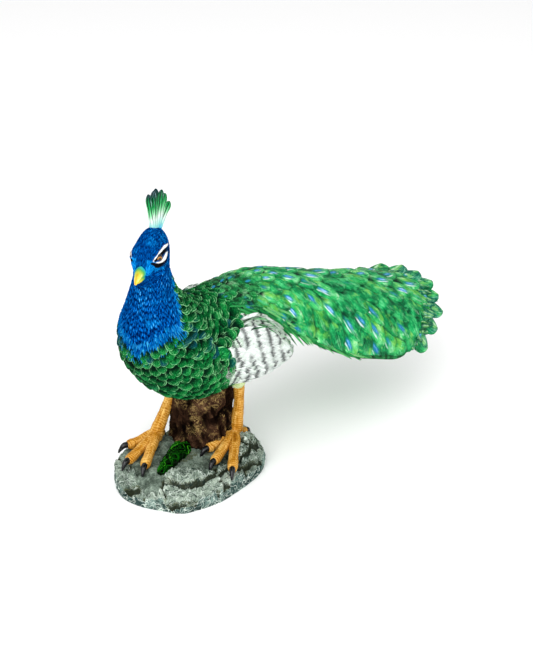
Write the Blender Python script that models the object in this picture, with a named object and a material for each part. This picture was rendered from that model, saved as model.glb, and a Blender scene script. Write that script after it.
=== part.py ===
"""Peacock figurine: one resin cast of a standing peacock, its stump and its rock base.

The bird's tail runs along +Y and its breast faces -Y, with the head turned to its left, +X.
The origin lies on the rock's flat underside, between the feet. The pose and the carving are drawn in
millimetres of a 255 mm tall figure and follow FIGURE_HEIGHT; the rock has sizes of its own, and its
ledges stay under the feet.
"""
import math

import bmesh
import bpy
import numpy as np
from mathutils import Matrix

# Driving dimensions, in metres.
FIGURE_HEIGHT = 0.255       # underside of the rock to the tip of the crest
BASE_LENGTH = 0.134         # rock along Y
BASE_WIDTH = 0.097          # rock across X
BASE_THICKNESS = 0.020      # underside to the ground that the feet stand on

# The drawing: a 255 mm tall figure whose feet stand on ground 20 mm up.
DRAWN_HEIGHT = 255.0
DRAWN_GROUND = 20.0
BIRD_SCALE = (FIGURE_HEIGHT - BASE_THICKNESS) / (DRAWN_HEIGHT - DRAWN_GROUND)   # metres to 1 mm

# Trunk stations from the rump to the beak's root, in drawn millimetres:
# back (y, z), belly (y, z), half width, turn to the left in degrees.
TRUNK = np.array([
    (112, 134, 109, 124, 8, 0),
    (98, 146, 95, 107, 24, 0),
    (76, 155, 72, 96, 34, 0),
    (50, 157, 46, 86, 41, 0),
    (26, 157, 20, 81, 42.5, 2),
    (10, 158.5, -6, 80.5, 42, 5),
    (1, 163, -25, 89, 40, 8),
    (-4, 169, -39.5, 106, 35, 11),
    (-8.5, 174.5, -48, 121, 29, 14),
    (-12, 180, -51.5, 140.5, 23.5, 18),
    (-14, 188, -50.5, 159, 18, 21),
    (-15, 197.5, -46.5, 175, 14, 24),
    (-12, 206.5, -44, 185.5, 12.4, 26),
    (-11, 217, -44.5, 188.5, 12.3, 27),
    (-18, 224.5, -45.5, 189.5, 11.6, 27),
    (-29, 227, -46.5, 189.5, 10.2, 27),
    (-37.5, 222.5, -47.5, 189.5, 9, 27),
    (-43, 213.5, -48.5, 190, 7.6, 27),
    (-46.5, 204.5, -49.5, 191, 6, 27),
], float)
NECK_AXIS = (0.0, -29.0)    # x, y of the upright line that the neck and head turn about
HEAD_TURN = 27.0            # degrees to the left, as in the last stations
BELLY_FULLNESS = 0.10       # how much wider a section is below its middle than above
TRUNK_SIDES = 28
BODY_SHARE = 0.46           # part of the trunk that carries large feathers, from the rump
FEATHER_ROW = 10.0          # between rows of body feathers
FEATHER_STEP = 1.3          # a feather's tip above the feather behind it
FEATHER_ZIGZAG = 3.0        # a tip past the notches beside it
STEP_RUN = 0.7              # length over which the surface drops behind a tip
PLAIN_RINGS = 13            # rings on the neck and head, whose feathers are fine

# Train stations from the back to its end: y, ridge z, half width, drop of the edges, thickness.
TRAIN = np.array([
    (18, 152, 14, 4, 8),
    (42, 158, 29, 16, 10),
    (74, 158.5, 39, 35, 12),
    (110, 147, 47, 45, 12),
    (145, 133, 52, 47, 11),
    (180, 120.5, 54, 44, 10),
    (211, 109.5, 55, 39, 9),
    (234, 100, 54, 29, 7),
    (254, 91.5, 51, 18, 4),
], float)
TRAIN_LEAN = -0.18          # rise of the surface per millimetre of x at the end
TRAIN_ROUNDING = 60.0       # how far the edges stay behind the middle at the end
TRAIN_SIDES = 17            # points across the upper side
TRAIN_ROW = 17.0            # between rows of eyed feathers
TRAIN_STEP = 3.0
TRAIN_ZIGZAG = 6.0
TIP_FEATHERS = 10           # feathers that stand out past the train's end

# Wing stations from the shoulder back: y, centre z, half width, half height,
# first and last angle from the top in degrees, turn to the left in degrees.
WING = np.array([
    (-4, 123, 38, 29, 72, 110, 4),
    (12, 120, 43, 36, 56, 126, 2),
    (30, 119, 46, 39, 46, 138, 1),
    (46, 118, 46.5, 38, 46, 142, 0),
    (60, 115, 45, 33, 56, 136, 0),
    (72, 109, 42, 22, 76, 118, 0),
], float)
WING_SIDES = 9
WING_ROW = 12.0
WING_STEP = 1.6
WING_ZIGZAG = 3.5
WING_DEPTH = 12.0           # how far the wing's inner side is sunk into the body

# Feet: ankle (x, y), then each toe's end (x, y); the hip (x, y, z) where the leg enters the body.
FEET = {
    "right": {"ankle": (-35, -3), "toes": ((-43, -36), (-20, -50), (-2.5, -43.5)),
              "hind": (-40, 12), "hip": (-27, 14, 84)},
    "left": {"ankle": (5, 46.6), "toes": ((6, 8), (27, 0), (48, 5)),
             "hind": (5, 65.4), "hip": (16, 40.5, 88)},
}
ANKLE_HEIGHT = 8.5          # above the ground
SHANK_RADIUS = 4.1
TOE_RADIUS = 4.2
CLAW_LENGTH = 8.0
LIMB_SIDES = 7

# Crest feathers: lean from upright in degrees, backwards positive; length; tip's place to the left.
CREST = ((-7, 33, -1), (-1, 34, 1), (6, 33.5, 0), (14, 31.5, 2), (24, 28, 2), (40, 22.5, 3))
CREST_ROOT = (-20, 221)     # y, z before the head's turn

STUMP = np.array([          # z above the ground, centre x, centre y, radius x, radius y
    (-8, -19, 33, 28, 28),
    (4, -19, 33, 27, 26),
    (18, -19, 32, 25, 24),
    (34, -18, 31.5, 23.5, 23),
    (50, -17, 31, 23, 22),
    (64, -15, 31, 23, 21.5),
    (76, -12, 31, 16, 14.5),
], float)
STUMP_SIDES = 16

BASE_CENTRE = (-3.5, 9)     # middle of the rock's outline, in drawn millimetres
BASE_OUTLINE = np.array([   # corners of the rock, as shares of its half width and half length
    (-0.69, -0.84), (-0.28, -1.00), (0.16, -0.98), (0.61, -0.81), (0.88, -0.63), (1.00, -0.25),
    (0.96, 0.08), (0.86, 0.46), (0.63, 0.76), (0.18, 0.94), (-0.30, 1.00), (-0.71, 0.85),
    (-0.92, 0.57), (-1.00, 0.16), (-0.98, -0.28), (-0.88, -0.64),
])
BASE_SIDES = 36
BASE_RINGS = 7
BASE_RIM = (0.60, 0.42, 0.36, 0.36, 0.40, 0.50, 0.74, 0.62, 0.52, 0.48, 0.48, 0.50,
            0.55, 0.62, 0.76, 0.80)   # height of the rim at each corner, as a share of the ground's
LEDGES = (                  # raised slabs: centre x, y, half length, half width, turn, height
    (12, -32, 26, 12, 38, 4.5),
    (34, 2, 17, 12, 70, 4.0),
    (-20, -56, 15, 9, -25, 3.2),
    (24, 46, 20, 13, 100, 5.5),
    (-36, 44, 20, 14, 60, 6.0),
)


def blend_rows(table, at):
    """Rows of table at the fractional row numbers `at`, on a smooth curve through them."""
    last = len(table) - 1
    at = np.clip(np.asarray(at, float), 0, last)
    low = np.minimum(at.astype(int), last - 1)
    part = (at - low)[..., None]
    before, here = table[np.maximum(low - 1, 0)], table[low]
    after, beyond = table[low + 1], table[np.minimum(low + 2, last)]
    out, into = (after - before) / 2, (beyond - here) / 2
    square, cube = part ** 2, part ** 3
    return ((2 * cube - 3 * square + 1) * here + (cube - 2 * square + part) * out
            + (3 * square - 2 * cube) * after + (cube - square) * into)


def turned(points, degrees, centre=NECK_AXIS):
    """Points (..., 3) turned about an upright line at centre; what faces -Y turns to +X."""
    angle = np.radians(degrees)
    x, y = points[..., 0] - centre[0], points[..., 1] - centre[1]
    return np.stack([centre[0] + x * np.cos(angle) - y * np.sin(angle),
                     centre[1] + x * np.sin(angle) + y * np.cos(angle),
                     points[..., 2]], -1)


def normals_of(surface, first, second, step=1e-3):
    """Unit normals of a surface function, by small steps in its two parameters."""
    along = surface(first + step, second) - surface(first - step, second)
    across = surface(first, second + step) - surface(first, second - step)
    normal = np.cross(along, across)
    return normal / np.maximum(np.linalg.norm(normal, axis=-1, keepdims=True), 1e-9)


def slate_rows(edges, sides, step, zigzag):
    """(travel, lift) of the rings of feather rows laid like slates, tips to greater travel."""
    for number, edge in enumerate(edges):
        forward = (np.arange(sides) + number) % 2
        reach = edge + zigzag * (forward - 0.5)
        yield reach, step * (0.35 + 0.65 * forward)
        yield reach + STEP_RUN, np.zeros(sides)


def new_mesh_object(name, points, faces, collection):
    """An object whose mesh is the points, in drawn millimetres, scaled to the real bird."""
    points = np.array(points, float).reshape(-1, 3)
    points[:, 2] -= DRAWN_GROUND
    points *= BIRD_SCALE
    points[:, 2] += BASE_THICKNESS
    mesh = bpy.data.meshes.new(name)
    mesh.from_pydata(points.tolist(), [], faces)
    shape = bmesh.new()
    shape.from_mesh(mesh)
    bmesh.ops.recalc_face_normals(shape, faces=shape.faces)
    shape.to_mesh(mesh)
    shape.free()
    made = bpy.data.objects.new(name, mesh)
    collection.objects.link(made)
    return made


def sheet_ring(outer, inner):
    """One ring of a thick sheet: its outer points, then every second inner point back again."""
    return np.concatenate([outer, inner[1:-1:2][::-1]])


def sheet_cap(first, count):
    """Faces that close an end of a thick sheet: first is the ring's first point, count its outer."""
    def inner(place):
        return first + count + (count - 2 - place) // 2

    faces = [(first, first + 1, inner(1)), (first + count - 2, first + count - 1, inner(count - 2))]
    for place in range(1, count - 2, 2):
        here = first + place
        faces.append((here, here + 1, here + 2, inner(place + 2), inner(place)))
    return faces


def loft(name, rings, collection, sheet=0):
    """A closed solid through rings with the same number of points.

    Its ends are fans, or for a thick sheet with `sheet` outer points in each ring, strips.
    """
    sides = len(rings[0])
    last = (len(rings) - 1) * sides
    points = np.concatenate(rings)
    faces = []
    for ring in range(len(rings) - 1):
        for side in range(sides):
            after = (side + 1) % sides
            faces.append((ring * sides + side, ring * sides + after,
                          (ring + 1) * sides + after, (ring + 1) * sides + side))
    if sheet:
        faces += sheet_cap(0, sheet) + sheet_cap(last, sheet)
    else:
        points = np.concatenate([points, [rings[0].mean(axis=0)], [rings[-1].mean(axis=0)]])
        for side in range(sides):
            after = (side + 1) % sides
            faces.append((len(points) - 2, after, side))
            faces.append((len(points) - 1, last + side, last + after))
    return new_mesh_object(name, points, faces, collection)


def tube_rings(path, widths, heights, upward, sides=LIMB_SIDES):
    """Elliptic rings along a path; upward is the direction that heights are measured in."""
    path = np.asarray(path, float)
    tangent = np.gradient(path, axis=0)
    tangent /= np.linalg.norm(tangent, axis=1, keepdims=True)
    across = np.cross(tangent, upward)
    across /= np.linalg.norm(across, axis=1, keepdims=True)
    rise = np.cross(across, tangent)
    angle = np.arange(sides) * 2 * math.pi / sides
    return [place + np.outer(np.cos(angle) * width, side) + np.outer(np.sin(angle) * height, up)
            for place, width, height, side, up in zip(path, widths, heights, across, rise)]


# The bird


def trunk_point(share, angle):
    """Point on the trunk: share runs 0 at the rump to 1 at the beak, angle 0 is the back."""
    row = blend_rows(TRUNK, share * (len(TRUNK) - 1))
    zero = np.zeros_like(row[..., 0])
    back = np.stack([zero, row[..., 0], row[..., 1]], -1)
    belly = np.stack([zero, row[..., 2], row[..., 3]], -1)
    up, side = np.cos(angle), np.sin(angle)
    point = (back + belly) / 2 + (back - belly) / 2 * up[..., None]
    point[..., 0] += row[..., 4] * side * (1 - BELLY_FULLNESS * up)
    return turned(point, row[..., 5])


def make_trunk(collection):
    angle = np.arange(TRUNK_SIDES) * 2 * math.pi / TRUNK_SIDES
    probe = np.linspace(BODY_SHARE, 0, 300)
    flank = trunk_point(probe, np.full(len(probe), math.pi / 2))
    travel = np.append(0, np.cumsum(np.linalg.norm(np.diff(flank, axis=0), axis=1)))
    rows = int(travel[-1] / FEATHER_ROW)
    edges = (np.arange(rows) + 0.5) * travel[-1] / rows
    rings = [trunk_point(np.full(TRUNK_SIDES, share), angle)
             for share in np.linspace(1, BODY_SHARE + 0.02, PLAIN_RINGS)]
    for reach, lift in slate_rows(edges, TRUNK_SIDES, FEATHER_STEP, FEATHER_ZIGZAG):
        share = np.interp(reach, travel, probe)
        normal = normals_of(trunk_point, share, angle)
        rings.append(trunk_point(share, angle) + normal * lift[:, None])
    return loft("trunk", rings, collection)


def train_point(share, across):
    """Point on the train's upper side: share 0 to 1 from back to end, across -1 right to 1 left."""
    row = blend_rows(TRAIN, share * (len(TRAIN) - 1))
    x = row[..., 2] * np.sin(across * math.pi / 2) * (0.75 + 0.25 * abs(across))
    y = row[..., 0] - TRAIN_ROUNDING * share ** 2 * across ** 2
    z = row[..., 1] - row[..., 3] * across ** 2 + TRAIN_LEAN * x * share ** 2
    return np.stack([x, y, z], -1)


def make_train(collection):
    across = np.linspace(-1, 1, TRAIN_SIDES)
    probe = np.linspace(0, 1, 300)
    ridge = train_point(probe, np.zeros(len(probe)))
    travel = np.append(0, np.cumsum(np.linalg.norm(np.diff(ridge, axis=0), axis=1)))
    rows = int(travel[-1] / TRAIN_ROW)
    edges = (np.arange(rows) + 0.6) * travel[-1] / rows
    rings = []

    def add_ring(share, lift):
        normal = -normals_of(train_point, share, across)
        top = train_point(share, across)
        thickness = blend_rows(TRAIN, share * (len(TRAIN) - 1))[..., 4]
        depth = thickness * np.sqrt(np.clip(1 - (0.93 * across) ** 2, 0, 1))
        lift = lift * (1 - across ** 6)
        rings.append(sheet_ring(top + normal * lift[:, None], top - normal * depth[:, None]))

    add_ring(np.zeros(TRAIN_SIDES), np.zeros(TRAIN_SIDES))
    for reach, lift in slate_rows(edges, TRAIN_SIDES, TRAIN_STEP, TRAIN_ZIGZAG):
        add_ring(np.interp(reach, travel, probe), lift)
    return loft("train", rings, collection, TRAIN_SIDES)


def make_tip_feather(number, collection):
    """One rounded feather that stands out past the train's end."""
    across = np.array(-0.84 + 1.68 * number / (TIP_FEATHERS - 1))
    edge = train_point(np.array(1.0), across)
    sideways = train_point(np.array(1.0), across + 0.01) - edge
    normal = -normals_of(train_point, np.array(0.94), across * 0.9)
    outward = np.cross(normal, sideways)
    outward *= math.copysign(1, outward[1]) / np.linalg.norm(outward)
    run = outward + np.array([0, 0.35, 0])
    run /= np.linalg.norm(run)
    along = np.array([0, 0.3, 0.58, 0.8, 0.93, 1.0])
    half_width = np.array([6.0, 9.5, 11.0, 9.8, 6.0, 1.4])
    half_depth = np.array([2.0, 2.3, 2.2, 1.9, 1.4, 0.6])
    length = 36 + 5 * (number % 2)
    flare = 5.5 - 6.0 * float(across)
    bend = np.outer(flare * along ** 3 - 1.0, normal)
    path = edge + np.outer((along - 0.58) * length, run) + bend
    return loft(f"tip_feather_{number + 1}",
                tube_rings(path, half_width, half_depth, normal, 6), collection)


def wing_point(share, across):
    """Point on the left wing's outer side: share from shoulder to tip, across 0 at the top."""
    row = blend_rows(WING, share * (len(WING) - 1))
    angle = np.radians(row[..., 4] + (row[..., 5] - row[..., 4]) * across)
    point = np.stack([row[..., 2] * np.sin(angle), row[..., 0] + 0 * angle,
                      row[..., 1] + row[..., 3] * np.cos(angle)], -1)
    return turned(point, row[..., 6])


def make_wing(side, collection):
    """The folded wing on one side; the right one mirrors the left across the turned body."""
    across = np.linspace(0, 1, WING_SIDES)
    probe = np.linspace(0, 1, 200)
    middle = wing_point(probe, np.full(len(probe), 0.5))
    travel = np.append(0, np.cumsum(np.linalg.norm(np.diff(middle, axis=0), axis=1)))
    rows = int(travel[-1] / WING_ROW)
    edges = (np.arange(rows) + 0.7) * travel[-1] / rows
    rings = []

    def add_ring(share, lift):
        outer = wing_point(share, across)
        normal = -normals_of(wing_point, share, across)
        rings.append(sheet_ring(outer + normal * lift[:, None], outer - normal * WING_DEPTH))

    add_ring(np.zeros(WING_SIDES), np.zeros(WING_SIDES))
    for reach, lift in slate_rows(edges, WING_SIDES, WING_STEP, WING_ZIGZAG):
        add_ring(np.interp(reach, travel, probe), lift)
    if side == "right":
        rings = [mirrored(ring) for ring in rings]
    return loft(f"{side}_wing", rings, collection, WING_SIDES)


def mirrored(points):
    """Left wing points carried to the right side, following the body's turn at the shoulder."""
    turn = np.interp(points[..., 1], (0, 46), (3, 0))
    straight = turned(points, -turn)
    straight[..., 0] *= -1
    return turned(straight, turn)


def make_beak(collection):
    """The upper and lower halves of the beak, before and after the head's turn."""
    halves = {
        "upper_beak": (((-43, 201.6), (-48, 200.5), (-52, 198.9), (-55, 197), (-56.8, 195.2)),
                       (5.6, 4.7, 3.3, 2.0, 0.7), (4.9, 4.0, 3.0, 2.0, 0.7)),
        "lower_beak": (((-43, 198.2), (-48.5, 197.4), (-52, 196.4), (-54.4, 195.6)),
                       (4.9, 3.9, 2.6, 1.1), (3.8, 3.0, 2.1, 0.9)),
    }
    for name, (path, widths, heights) in halves.items():
        path = turned(np.array([(0, y, z) for y, z in path], float), HEAD_TURN)
        loft(name, tube_rings(path, widths, heights, (0, 0, 1)), collection)


def make_eye(side, collection):
    """A low dome on the side of the head."""
    centre = turned(np.array([7.0 if side == "left" else -7.0, -36.4, 209.6]), HEAD_TURN)
    bpy.ops.mesh.primitive_uv_sphere_add(segments=8, ring_count=5, radius=1)
    eye = bpy.context.object
    eye.data.transform(Matrix.Diagonal((4.4, 4.4, 4.0, 1)))
    eye.data.transform(Matrix.Rotation(math.radians(HEAD_TURN), 4, "Z"))
    points = np.array([vertex.co for vertex in eye.data.vertices]) + centre
    faces = [tuple(face.vertices) for face in eye.data.polygons]
    bpy.data.objects.remove(eye)
    return new_mesh_object(f"{side}_eye", points, faces, collection)


def make_crest(collection):
    """A fan of club-ended feathers, standing in the plane that the head faces."""
    root = np.array([0, *CREST_ROOT], float)
    along = np.array([-0.18, 0.25, 0.62, 0.82, 0.94, 1.0])
    half_width = np.array([2.6, 2.4, 2.8, 3.5, 2.4, 0.7])
    half_depth = np.array([3.2, 2.4, 2.2, 2.5, 1.8, 0.6])
    for number, (lean, length, leftward) in enumerate(CREST):
        lean = math.radians(lean)
        run = np.array([0, math.sin(lean), math.cos(lean)])
        offset = np.array([0, (number - 2.5) * 1.3, 0])
        path = root + offset + np.outer(along * length, run)
        path[:, 1] += 3.0 * math.sin(lean) * along ** 2
        sideways = np.array([1.0, 0, 0])
        path[:, 0] += leftward * along
        rings = [turned(ring, HEAD_TURN)
                 for ring in tube_rings(path, half_width, half_depth, sideways, 6)]
        loft(f"crest_feather_{number + 1}", rings, collection)
    path = root + np.outer(np.array([-5.0, 8, 17, 20]), (0, 0.28, 1))
    rings = tube_rings(path, (3.0, 5.5, 7.5, 6.0), (1.8, 1.6, 1.4, 0.6), (1.0, 0, 0), 8)
    loft("crest_web", [turned(ring, HEAD_TURN) for ring in rings], collection)


# Legs and feet


def limb(name, stations, collection, count=7, sides=LIMB_SIDES):
    """A tapered round limb on a smooth path through stations (x, y, z, radius)."""
    rows = blend_rows(np.array(stations, float), np.linspace(0, len(stations) - 1, count))
    upward = (0.15, 1, 0.1) if name.endswith("shank") else (0, 0, 1)
    return loft(name, tube_rings(rows[:, :3], rows[:, 3], rows[:, 3], upward, sides), collection)


def make_foot(side, collection):
    foot = FEET[side]
    ankle = np.array([*foot["ankle"], DRAWN_GROUND + ANKLE_HEIGHT])
    hip = np.array(foot["hip"], float)
    shin = ankle + (hip - ankle) * 0.5 + np.array([0, 2, 0])
    heel = ankle - (hip - ankle) * 0.09
    limb(f"{side}_shank", [(*heel, SHANK_RADIUS + 1.8), (*ankle, SHANK_RADIUS + 1.8),
                           (*shin, SHANK_RADIUS), (*hip, SHANK_RADIUS + 1.2)], collection)
    thigh_top = hip + np.array([0, 6, 16])
    thigh_foot = ankle + (hip - ankle) * 0.80
    limb(f"{side}_thigh", [(*thigh_foot, 4.7), (*hip, 9.5), (*thigh_top, 15)], collection, 5)
    for number, end in enumerate([*foot["toes"], foot["hind"]]):
        hind = number == 3
        end = np.array([*end, DRAWN_GROUND], float)
        run = end - ankle
        run[2] = 0
        reach = np.linalg.norm(run)
        run /= reach
        toe_end = reach - CLAW_LENGTH
        size = TOE_RADIUS * (0.72 if hind else 1)
        stations = [(*(ankle - run * (1.6 + 0.3 * number)), size * (1.12 - 0.03 * number))]
        for share, height, girth in ((0.30, 6.4, 1.08), (0.62, 4.8, 0.92), (0.90, 3.6, 1.0)):
            place = ankle + run * toe_end * share
            stations.append((*place[:2], DRAWN_GROUND + height, size * girth))
        tip = ankle + run * toe_end
        stations.append((*tip[:2], DRAWN_GROUND + 3.0, size * 0.66))
        limb(f"{side}_toe_{number + 1}", stations, collection, 6, 6)
        claw = [(*(tip - run * 2)[:2], DRAWN_GROUND + 3.8, size * 0.62)]
        for share, height, girth in ((0.35, 4.0, 0.55), (0.75, 1.4, 0.34), (1.0, -1.2, 0.14)):
            place = tip + run * CLAW_LENGTH * share
            claw.append((*place[:2], DRAWN_GROUND + height, size * girth))
        limb(f"{side}_claw_{number + 1}", claw, collection, 4, 6)


# Stump, moss and rock


def make_stump(collection):
    """A gnarled root stock under the belly, with lobes that twist as they rise."""
    angle = np.arange(STUMP_SIDES) * 2 * math.pi / STUMP_SIDES
    rings = []
    for number, (height, x, y, half_x, half_y) in enumerate(STUMP):
        lobes = 1 + 0.07 * np.sin(3 * angle + 0.5 * number) + 0.06 * np.sin(7 * angle - number)
        rings.append(np.stack([x + half_x * lobes * np.cos(angle),
                               y + half_y * lobes * np.sin(angle),
                               np.full(STUMP_SIDES, DRAWN_GROUND + height)], -1))
    return loft("stump", rings, collection)


def make_moss(collection):
    """A low tuft between the right foot and the stump."""
    run = [(-14, 12, 5.0), (-10, 3, 7.0), (-6, -7, 5.5), (-1, -18, 6.0), (2, -27, 3.5)]
    stations = [(x, y, DRAWN_GROUND + 0.5, radius) for x, y, radius in run]
    return limb("moss", stations, collection, 7)


def ground_height(x, y, rim, edge_share):
    """Top of the rock in drawn millimetres above its underside.

    rim is 0 inside and 1 at the edge, where the top is edge_share of the ground's height.
    """
    height = np.full_like(x, DRAWN_GROUND)
    for centre_x, centre_y, half_long, half_wide, turn, rise in LEDGES:
        angle = math.radians(turn)
        along = ((x - centre_x) * math.cos(angle) + (y - centre_y) * math.sin(angle)) / half_long
        off = ((y - centre_y) * math.cos(angle) - (x - centre_x) * math.sin(angle)) / half_wide
        inside = 1 - (along ** 4 + off ** 4) ** 0.25
        height += rise * np.clip(inside * 4.0, 0, 1)
    fall = np.clip((rim - 0.7) / 0.3, 0, 1) ** 1.3
    return height - fall * DRAWN_GROUND * (1 - edge_share)


def make_rock(collection):
    """The rock slab, sized by its own dimensions, with a flat underside at the origin."""
    corners = np.column_stack([BASE_OUTLINE, BASE_RIM])
    corners = np.concatenate([corners, corners[:1]])
    edge = blend_rows(corners, np.arange(BASE_SIDES) * len(BASE_OUTLINE) / BASE_SIDES)
    edge, rim_share = edge[:, :2], edge[:, 2]
    edge = (edge - (edge.max(axis=0) + edge.min(axis=0)) / 2) * 2 / np.ptp(edge, axis=0)
    edge *= (BASE_WIDTH / 2 / BIRD_SCALE, BASE_LENGTH / 2 / BIRD_SCALE)
    centre = np.array(BASE_CENTRE)
    rings = [np.column_stack([centre + edge * 0.97, np.zeros(BASE_SIDES)]),
             np.column_stack([centre + edge, np.full(BASE_SIDES, DRAWN_GROUND * 0.25)])]
    for rim in np.linspace(1, 1 / BASE_RINGS, BASE_RINGS):
        place = centre + edge * (rim if rim < 1 else 0.985)
        height = ground_height(place[:, 0], place[:, 1], rim, rim_share)
        rings.append(np.column_stack([place, height]))
    scale = np.array([BIRD_SCALE, BIRD_SCALE, BASE_THICKNESS / DRAWN_GROUND])
    rock = loft("rock", rings, collection)
    middle = [[*centre, 0], [*centre, rings[-1][:, 2].mean()]]
    for vertex, point in zip(rock.data.vertices, np.concatenate([*rings, middle])):
        vertex.co = point * scale
    return rock


def resin():
    """Painted resin: mostly the green of the feathers."""
    material = bpy.data.materials.new("painted_resin")
    material.use_nodes = True
    shader = material.node_tree.nodes["Principled BSDF"]
    shader.inputs["Base Color"].default_value = (0.03, 0.25, 0.08, 1)
    shader.inputs["Roughness"].default_value = 0.4
    shader.inputs["Metallic"].default_value = 0.0
    return material


def main():
    for old in list(bpy.data.objects):
        bpy.data.objects.remove(old)
    figure = bpy.data.collections.new("peacock_figurine")
    shapes = bpy.data.collections.new("shapes_to_fuse")
    bpy.context.scene.collection.children.link(figure)
    bpy.context.scene.collection.children.link(shapes)

    cast = make_trunk(figure)
    cast.name = "peacock_figurine"
    cast.data.name = "peacock_figurine"
    make_train(shapes)
    for number in range(TIP_FEATHERS):
        make_tip_feather(number, shapes)
    make_beak(shapes)
    make_crest(shapes)
    make_stump(shapes)
    make_moss(shapes)
    make_rock(shapes)
    for side in ("right", "left"):
        make_wing(side, shapes)
        make_eye(side, shapes)
        make_foot(side, shapes)

    for shape in shapes.objects:
        shape.hide_render = True
        shape.display_type = "WIRE"
        if not shape.name.endswith(("rock", "train", "wing")):
            shape.data.shade_smooth()
    fuse = cast.modifiers.new("fuse", "BOOLEAN")
    fuse.operation = "UNION"
    fuse.operand_type = "COLLECTION"
    fuse.collection = shapes
    fuse.solver = "EXACT"
    fuse.use_self = True
    cast.data.materials.append(resin())


main()
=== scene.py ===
"""Painted peacock figurine: feathers, paint and stone over the plain cast.

Lengths are the drawing's millimetres until a piece is made, and the surfaces are those of the cast.
Point attributes carry each feather's own coordinates, so that the paint follows the carving.
"""
import math

import bmesh
import bpy
import numpy as np
from mathutils import Matrix, Vector


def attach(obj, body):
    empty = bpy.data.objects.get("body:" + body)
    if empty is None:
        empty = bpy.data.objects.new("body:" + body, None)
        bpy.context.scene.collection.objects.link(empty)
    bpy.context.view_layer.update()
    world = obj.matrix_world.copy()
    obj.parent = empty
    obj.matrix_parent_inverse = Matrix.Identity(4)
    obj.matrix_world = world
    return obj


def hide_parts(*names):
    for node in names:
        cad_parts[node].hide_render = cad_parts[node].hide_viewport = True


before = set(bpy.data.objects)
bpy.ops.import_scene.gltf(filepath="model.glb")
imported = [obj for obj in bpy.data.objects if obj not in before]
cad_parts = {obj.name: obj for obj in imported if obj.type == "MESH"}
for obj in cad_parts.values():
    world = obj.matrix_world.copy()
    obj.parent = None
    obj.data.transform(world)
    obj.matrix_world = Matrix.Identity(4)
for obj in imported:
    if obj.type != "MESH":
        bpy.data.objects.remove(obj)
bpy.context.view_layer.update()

rng = np.random.default_rng(7)
MM = 0.001
TURN = 6.28
GROUND = 20.0

# Trunk stations from the rump to the beak's root: back (y, z), belly (y, z), half width, turn.
TRUNK = np.array([
    (112, 134, 109, 124, 8, 0),
    (98, 146, 95, 107, 24, 0),
    (76, 155, 72, 96, 34, 0),
    (50, 157, 46, 86, 41, 0),
    (26, 157, 20, 81, 42.5, 2),
    (10, 158.5, -6, 80.5, 42, 5),
    (1, 163, -25, 89, 40, 8),
    (-4, 169, -39.5, 106, 35, 11),
    (-8.5, 174.5, -48, 121, 29, 14),
    (-12, 180, -51.5, 140.5, 23.5, 18),
    (-14, 188, -50.5, 159, 18, 21),
    (-15, 197.5, -46.5, 175, 14, 24),
    (-12, 206.5, -44, 185.5, 12.4, 26),
    (-11, 217, -44.5, 188.5, 12.3, 27),
    (-18, 224.5, -45.5, 189.5, 11.6, 27),
    (-29, 227, -46.5, 189.5, 10.2, 27),
    (-37.5, 222.5, -47.5, 189.5, 9, 27),
    (-43, 213.5, -48.5, 190, 7.6, 27),
    (-46.5, 204.5, -49.5, 191, 6, 27),
], float)
NECK_AXIS = (0.0, -29.0)
HEAD_TURN = 27.0
BELLY_FULLNESS = 0.10
EYE_CENTRE = np.array([7.9, -36.3, 209.6])

# Painted strokes of the face, brow to lore: corners (y, z, width share) and half width.
FACE_BANDS = (
    (((-42.3, 209.2, .3), (-40.5, 210.7, .7), (-35.8, 212.9, 1), (-28, 214.3, 1), (-20.5, 213.2, .6)), 1.3),
    (((-41.6, 209.2, .6), (-37.5, 211.4, 1), (-31, 212.1, 1.1), (-23, 211.4, 1.3), (-19.5, 209.6, 1.3)), 1.3),
    (((-41.4, 207.4, .5), (-37.5, 206.6, .8), (-32, 207.6, 1.6), (-27, 209.2, 1.2), (-24.5, 210.2, .4)), 1.3),
    (((-43.2, 207.4, .6), (-40.8, 205.3, 1.1), (-36, 203.7, 1.4), (-30.7, 203.7, 1.4), (-26, 206.0, 1.4),
      (-22.5, 209.2, 1.2), (-20.5, 211.5, 1)), 1.6),
    (((-43, 204.5, .8), (-39, 201.9, 1), (-33, 200.3, 1), (-27, 201.6, 1), (-22, 206, .8)), 1.9),
    (((-47, 202, 1), (-44, 206, 1.3)), 3.0),
)

# Train stations from the back to its end: y, ridge z, half width, drop of the edges, thickness.
TRAIN = np.array([
    (18, 152, 14, 4, 8),
    (42, 158, 29, 16, 10),
    (74, 158.5, 39, 35, 12),
    (110, 147, 47, 45, 12),
    (145, 133, 52, 47, 11),
    (180, 120.5, 54, 44, 10),
    (211, 109.5, 55, 39, 9),
    (234, 100, 54, 29, 7),
    (254, 91.5, 51, 18, 4),
], float)
TRAIN_LEAN = -0.18
TRAIN_ROUNDING = 60.0
TRAIN_TWIST = -1.0
TRAIN_REACH = (-61.85, 54.9, 2.5)  # the cast's least and greatest x, and where the drawing in starts
TIP_FEATHERS = 10
EDGE_STRANDS = 270

# Wing stations: y, centre z, half width, half height, first and last angle from the top, turn.
WING = np.array([
    (-4, 123, 38, 29, 72, 110, 4),
    (12, 120, 43, 36, 56, 126, 2),
    (30, 119, 46, 39, 46, 138, 1),
    (46, 118, 46.5, 38, 46, 142, 0),
    (60, 115, 45, 33, 56, 136, 0),
    (72, 109, 42, 22, 76, 118, 0),
], float)
WING_DEPTH = 12.0

FEET = {
    "right": {"ankle": (-35, -3), "toes": ((-43, -36), (-20, -50), (-2.5, -43.5)),
              "hind": (-40, 12), "hip": (-27, 14, 84)},
    "left": {"ankle": (5, 46.6), "toes": ((6, 8), (27, 0), (48, 5)),
             "hind": (5, 65.4), "hip": (16, 40.5, 88)},
}
ANKLE_HEIGHT = 8.5
SHANK_RADIUS = 4.1
TOE_RADIUS = 4.2
CLAW_LENGTH = 8.0

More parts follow.
